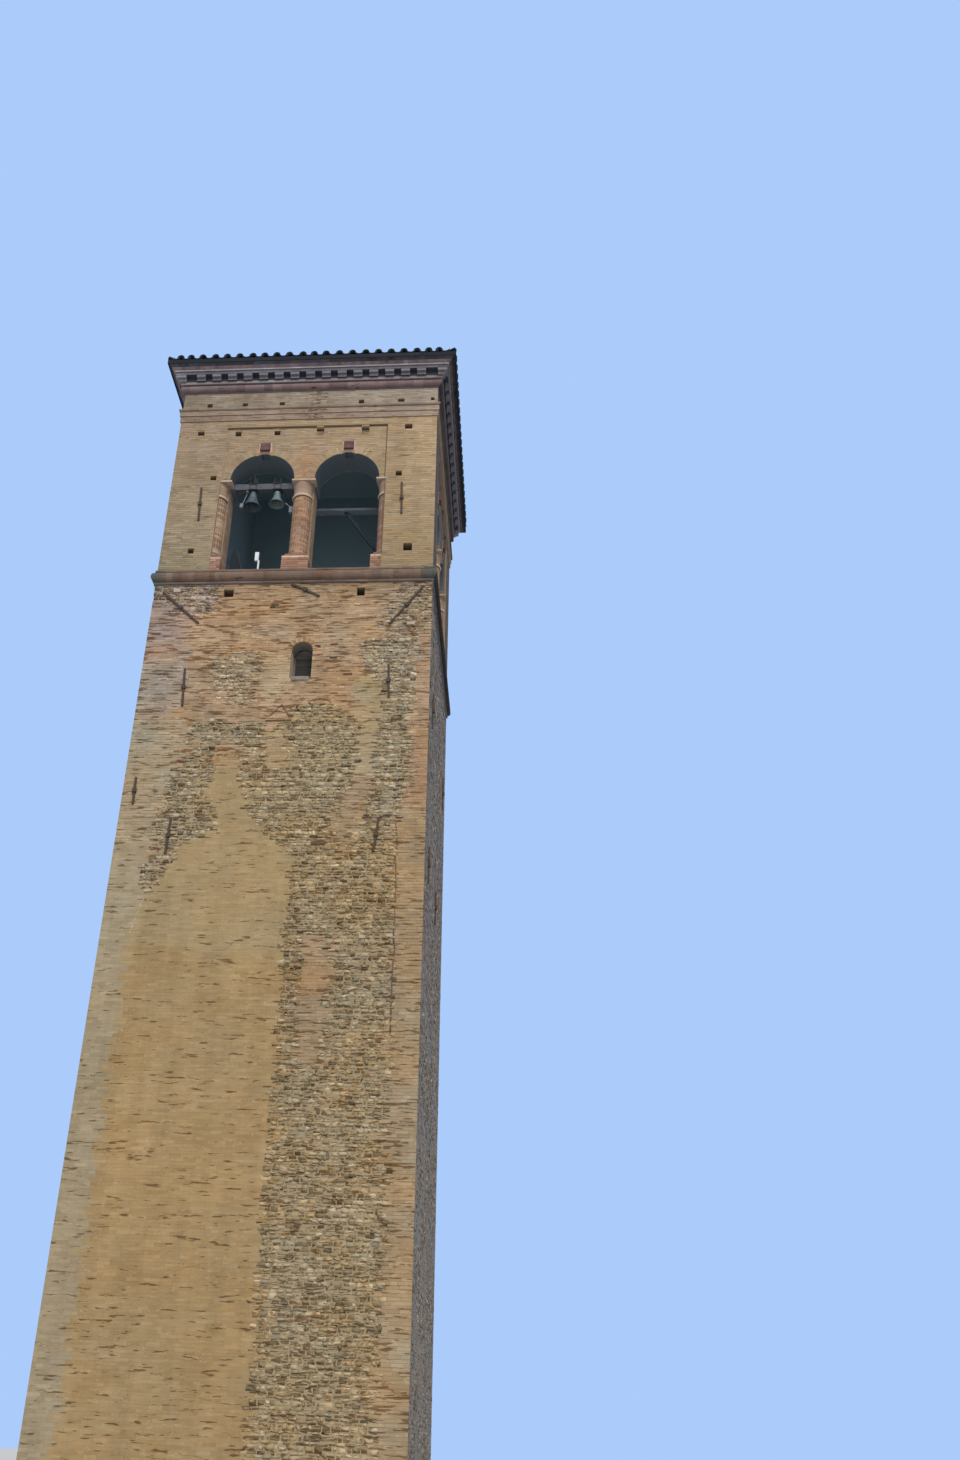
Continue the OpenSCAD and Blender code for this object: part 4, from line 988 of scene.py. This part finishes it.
def band_skin(k):
    """Bricks of the architrave's two bands and of the frieze between its holes."""
    rng = np.random.default_rng(600 + k)
    groups = []
    for out, zone, course, gaps, mean in (
            (0.03, (Z_ARCHITRAVE, 26.38), 0.0633, [], (142, 124, 112)),
            (0.055, (26.38, 26.55), 0.057, [], (145, 127, 113)),
            (0.0, (Z_FRIEZE, Z_BED), 0.0667, spans_of(FRIEZE_HOLES), (142, 129, 115))):
        laid = lay_courses(face_span(k, out), zone, course, rng, gaps, joint=0.005, **FINE)
        x, z = middles(laid)
        shade = np.asarray(mean) + 6 * drift(x, z, 0.8, 601)[:, None] + 12 * (x[:, None] / HALF)
        cracked = 0.25
        if k == 0:
            n = 15
            sx, sz = rng.normal(0.2, 0.12, n), rng.uniform(zone[0] + 0.03, zone[1] - 0.03, n)
            wide, high = rng.uniform(0.02, 0.06, n), rng.uniform(0.008, 0.014, n)
            stains = np.stack([sx - wide, sx + wide, sz - high, sz + high], -1)
            groups.append(mottled_blocks(stains, (104, 80, 58), 10, 0.0075, 0.002, k, rng, depth=-out))
            cracked = 0.25 + 1.2 * np.exp(-((x - 0.2) / 0.28) ** 2)
        groups.append(mottled_blocks(laid, shade, 6, (0.002, 0.005), 0.0015, k, rng, 0.5, cracked,
                                     depth=-out))
    return groups


# Roof

def shells(origin, axes, xc, lower, upper, sweep, tones, cupped=False, sides=6, plumb=0.0):
    """Curved clay tiles as thin closed shells.

    Axes run across, up along and out of the slope. A tile is an arc, swept so many degrees to each
    side, humped for a cover tile and cupped for a pan tile. Lower and upper give for its two ends the
    distance up the slope, the radius, and how high the arc's centre (or, cupped, its floor) lies.
    Plumb, the slope's tangent, sets the lower ends upright. Nothing passes the eaves.
    """
    a = np.radians(np.linspace(-sweep, sweep, sides + 1))
    points = np.empty((len(xc), 2, 2, sides + 1, 3))
    for e, (t, r, lift) in enumerate((lower, upper)):
        for s in (0, 1):
            shell = r + (TILE_THICK if cupped else -TILE_THICK) * s
            high = lift + (r - shell * np.cos(a) if cupped else shell * np.cos(a))
            spot = (xc[:, None] + shell * np.sin(a), t[:, None] + (high * plumb if e == 0 else 0.0), high)
            points[:, e, s] = origin + np.stack(np.broadcast_arrays(*spot), -1) @ axes
    points[..., :2] = points[..., :2].clip(0.001 - EAVE, EAVE - 0.001)
    return bars(points, tones, flip=True)


FRONT_COVERS = [-3.74, -3.44, -3.10, -2.73, -2.39, -2.03, -1.65, -1.31, -.96, -.6, -.21, .11, .45, .83,
                1.2, 1.58, 1.94, 2.3, 2.66, 3.03, 3.36, 3.65]
TILE_COLOURS = np.array([(112, 88, 74), (98, 84, 76), (124, 98, 80), (88, 82, 78), (106, 92, 82)])
# Painted shade on the first row of tiles along the eaves and on the caps at the hips' feet.
EAVE_TILE_SHADE = (58, 66, 76)


def tile_tones(n, rng):
    base = TILE_COLOURS[rng.integers(0, len(TILE_COLOURS), n)]
    return linear(mottled(base, 9, n, rng).clip(10, 200))


def roof_tiles(k):
    """Rows of cover tiles up a slope, their edges in the pan tiles between, ending at the hips.

    The first row juts past the boards, its lower ends upright, the covers tilted up a little.
    """
    rng = np.random.default_rng(700 + k)
    c, s = math.cos(ROOF_SLOPE), math.sin(ROOF_SLOPE)
    origin = turned(np.array([0.0, -0.54, EAVE_Z]), k)
    axes = turned(np.array([(1, 0, 0), (0, c, s), (0, -s, c)]), k, 0.0)
    covers = np.array(FRONT_COVERS) if k == 0 else np.linspace(-3.74, 3.68, 22)
    pans = np.concatenate([[covers[0] - 0.17], (covers[1:] + covers[:-1]) / 2, [covers[-1] + 0.17]])
    groups = []
    for columns, cupped in ((covers, False), (pans, True)):
        tiles = []
        for x in columns:
            top = (EAVE - abs(x) - (0.02 if cupped else 0.06)) / c
            tiles += [(x, start, min(start + TILE, max(top, 0.1)))
                      for start in np.arange(0.001, max(top - 0.12, 0.01), TILE_STEP)]
        xs, low, high = np.array(tiles).T
        xs = xs + rng.normal(0, 0.006, len(xs)) * (low > 0.1)
        first = low < 0.1
        tones = tile_tones(len(xs), rng)
        # The first row takes painted shade.
        tones[first] = linear(mottled(EAVE_TILE_SHADE, 5, int(first.sum()), rng))
        for row, jut, lift in ((first, 0.015, 0.050), (~first, 0.0, 0.034)):
            if cupped:
                ends = (low[row] + jut, 0.135, 0.026), (high[row], 0.122, 0.012), 60
            else:
                ends = (low[row], 0.104, lift), (high[row], 0.086, 0.018), 88
            groups.append(shells(origin, axes, xs[row], *ends, tones[row], cupped, plumb=s / c))
    return groups


def roof_boards():
    """The four sloping slabs as one closed form, their lower edges set back under the tiles' ends."""
    edge, tip, fall = EAVE - 0.03, 0.01, math.tan(ROOF_SLOPE)
    square = np.array([(-1, -1), (1, -1), (1, 1), (-1, 1)], float)
    points = []
    for half, down in ((edge, 0.0), (tip, 0.0), (tip, 0.13), (edge, 0.13)):
        points.append(np.column_stack([square * half, np.full(4, EAVE_Z + (EAVE - half) * fall - down)]))
    faces = [[4, 5, 6, 7], [11, 10, 9, 8]]
    for i in range(4):
        j = (i + 1) % 4
        faces += [[i, j, 4 + j, 4 + i], [8 + i, 8 + j, 12 + j, 12 + i], [12 + i, 12 + j, j, i]]
    return np.concatenate(points), np.array(faces), np.zeros((16, 3))


def hip_tiles():
    """Cover tiles down the four hips from the round cap."""
    rng = np.random.default_rng(710)
    run, up = EAVE * math.sqrt(2), np.array([0, 0, 1.0])
    slope = math.atan((APEX_Z - EAVE_Z) / run)
    c, s = math.cos(slope), math.sin(slope)
    groups = []
    for j in range(4):
        turn = math.radians(45 + 90 * j)
        out = np.array([math.cos(turn), math.sin(turn), 0.0])
        place = out * run + up * EAVE_Z, np.array([np.cross(up, out), up * s - out * c, up * c + out * s])
        low = np.arange(0.46, 5.72, TILE_STEP)
        high = np.minimum(low + TILE, 5.86)
        groups += [shells(*place, 0 * low, (low, 0.134, 0.012), (high, 0.116, 0.0), 98,
                          tile_tones(len(low), rng), sides=8),
                   # A cap at the hip's foot, in painted shade.
                   shells(*place, np.zeros(1), (np.array([0.085]), 0.074, 0.05),
                          (np.array([0.56]), 0.104, 0.006), 90, linear([EAVE_TILE_SHADE]), sides=8)]
    return groups


# Bells

def bell_bands(x, mouth, h, shoulder, power, bands, tone):
    """Mould rings round a bell: a small round section carried round the bell's axis.

    The bell's radius falls from the mouth's to the shoulder's share of it by a power of the rest of
    the way up, over the part of its height below the dome.
    """
    hung, axis_y, below_dome = 0.052, -3.095, 0.86
    return [torus(x, axis_y, Z_SPRING - hung - h + below_dome * h * t,
                  mouth * (shoulder + (1 - shoulder) * (1 - t) ** power), thick, tone, 1.4, 56, 6)
            for t, thick in bands]


# Finishes of the CAD solids, each with the nodes that take it

belfry_walls = [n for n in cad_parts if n.startswith(("corner_pier", "centre_pier", "arch_wall"))]
for finish, names in (
        (wall_core("shaft_core", (150, 134, 108), (128, 106, 84), (104, 88, 72), outer=3.53, kind="shaft"),
         [f"shaft_{face}_wall" for face in FACES]),
        (wall_core("belfry_core", (150, 130, 104), (140, 118, 98), (118, 100, 84), outer=3.53, course=0.066,
                   length=0.26, kind="belfry"), belfry_walls + ["architrave", "frieze"]),
        (wall_core("cornice_core", (122, 118, 122), (128, 124, 130), (112, 108, 116), kind="cornice"),
         ["string_course", "cornice_bed_mould", "cornice_crown", "dentil_course"]),
        (wall_core("red_core", (134, 108, 92), (132, 104, 88), (112, 88, 76)),
         ["column_bases", "column_shafts"]),
        (wall_core("capital_brick", (140, 122, 106), (160, 136, 118), (146, 122, 106), course=0.075),
         ["column_capitals"]),
        (wall_core("key_brick", (92, 66, 62), (106, 80, 77), (94, 70, 70), course=0.12, length=0.135),
         ["keystones"]),
        (pale_stone("impost_stone", (178, 156, 140), (104, 94, 86), inner=3.28), ["imposts"]),
        (pale_stone("sill_stone", (124, 121, 117), (84, 80, 72)), ["slit_window_sills"]),
        (old_wood("frame_wood", (116, 106, 96), (84, 76, 67), 2), ["slit_window_frames"]),
        (pale_stone("floor_mortar", (92, 88, 82), (60, 58, 54)), ["belfry_floor"]),
        (old_wood("grey_oak", (104, 108, 114), (66, 70, 76), 0), ["bell_beam"]),
        # The plank's underside is brightened 2.4 times: painted light.
        (old_wood("plank_oak", (88, 96, 104), (66, 72, 80), 0, under=2.4), ["cross_plank"]),
        # The brace's near-black blue is painted shade.
        (old_wood("dark_brace", (46, 56, 62), (34, 42, 48), 2), ["timber_brace"]),
        (patina("grey_bronze", (72, 84, 94), (92, 108, 116), (44, 50, 56)), ["bell_left"]),
        (patina("green_bronze", (98, 116, 118), (124, 144, 142), (60, 72, 72)), ["bell_right"]),
        (iron("dark_iron", (52, 54, 58), (84, 62, 50), 0.0), ["bell_clamps"]),
        (iron("rusty_iron", (56, 47, 38), (84, 62, 46), 0.12), ["wall_anchors"]),
        (iron("zinc", (112, 120, 128), (104, 98, 92), -0.12), ["bell_hammer_left", "bell_hammer_right"]),
        (pale_stone("white_case", (212, 216, 218), (130, 134, 138)), ["sill_lamp"]),
        (wall_core("hip_mortar", (88, 80, 74), (94, 80, 72), (80, 72, 68), course=0.4, length=0.4),
         ["roof_hips"])):
    for name in names:
        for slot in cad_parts[name].material_slots:
            slot.material = finish

# Added pieces

# The boards' near-black blue is the eave's painted shade; inside the belfry they take the limewash.
eave_boards = wall_core("eave_boards", (40, 46, 54), (44, 48, 54), (36, 40, 46), course=0.16, length=1.4,
                        kind="boards")
deck = piece("roof_boards", [roof_boards()], eave_boards)
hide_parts(*[f"roof_slope_{face}" for face in FACES])
tile_clay = fired_clay("tile_clay", grain=0.3, soot=0.15)
brick_clay = fired_clay("brick_clay")
fine_clay = fired_clay("fine_clay", streaks=0.14)
mould_clay = fired_clay("mould_clay", grain=0.22, streaks=0.26, soot=0.12)
for k, face in enumerate(FACES):
    piece(f"shaft_bricks_{face}", shaft_skin(k), brick_clay)
    piece(f"belfry_bricks_{face}", belfry_skin(k) + reveal_skin(k), fine_clay)
    piece(f"column_bricks_{face}", column_skin(k) + base_skin(k) + ring_skin(k), fine_clay)
    piece(f"string_bricks_{face}", mould_skin(k, 800, STRING_ROWS, mossy=True), mould_clay)
    piece(f"band_bricks_{face}", band_skin(k) + mould_skin(k, 820, ARCHITRAVE_ROWS), fine_clay)
    piece(f"cornice_bricks_{face}", mould_skin(k, 840, CORNICE_ROWS) + corner_dentils(k), mould_clay)
    piece(f"roof_tiles_{face}", roof_tiles(k), tile_clay, rounded=True)
piece("hip_tiles", hip_tiles(), tile_clay, rounded=True)
piece("slit_shutters", slit_shutters(), fired_clay("shutter_boards", grain=0.12, streaks=0.1, pale=0.0))
bell_finish = fired_clay("bell_band_bronze", grain=0.15, streaks=0.3, rough=0.55)
for side, shape, tone, slot, bands in (
        ("left", (-1.43, .242, .5, .4, 1.5), (74, 86, 95), "grey_bronze",
         [(.03, .007), (.12, .005), (.17, .004), (.6, .004), (.94, .006)]),
        ("right", (-.76, .219, .411, .42, 2.1), (96, 112, 114), "green_bronze",
         [(.03, .007), (.13, .005), (.18, .004), (.62, .004), (.94, .006)])):
    piece(f"bell_{side}_bands", bell_bands(*shape, bands, tone), bell_finish, rounded=True)


# Floor, sky and light

def set_stage():
    """A pale floor, a pale blue sky seen only by the camera and by gloss, soft light from the front left."""
    floor = bpy.data.meshes.new("studio_floor")
    floor.from_pydata([(-90, -90, 0), (90, -90, 0), (90, 90, 0), (-90, 90, 0)], [], [(0, 1, 2, 3)])
    floor.materials.append(Finish("studio_floor").wear(Base_Color=paint((196, 194, 190)), Roughness=0.9))
    put_in("studio_floor", floor)

    world = bpy.data.worlds.new("studio_sky")
    bpy.context.scene.world = world
    sky = Nodes(world, "Background")
    sky.wear(Color=paint((171, 204, 251)), Strength=1.0)
    camera, gloss, through = sky.node("ShaderNodeLightPath", {}, {}, out=(
        "Is Camera Ray", "Is Glossy Ray", "Is Transmission Ray"))
    glow = sky.node("ShaderNodeBackground", {}, {0: (0.78, 0.87, 1.0, 1.0), 1: AMBIENT})
    either = sky.node("ShaderNodeMixShader", {}, {
        0: camera.most(gloss.most(through)), 1: glow, 2: Wire(sky, sky.worn.outputs[0])})
    sky.tree.links.new(either.socket, sky.tree.nodes["World Output"].inputs[0])

    data = bpy.data.lights.new("soft_sun", "SUN")
    data.energy = SUN
    data.color = (1.0, 0.95, 0.86)
    data.angle = math.radians(32)
    sun = put_in("soft_sun", data)
    sun.rotation_euler = (math.radians(50), 0.0, math.radians(14))
    bpy.context.scene.view_settings.view_transform = "Standard"


set_stage()
aim_camera()
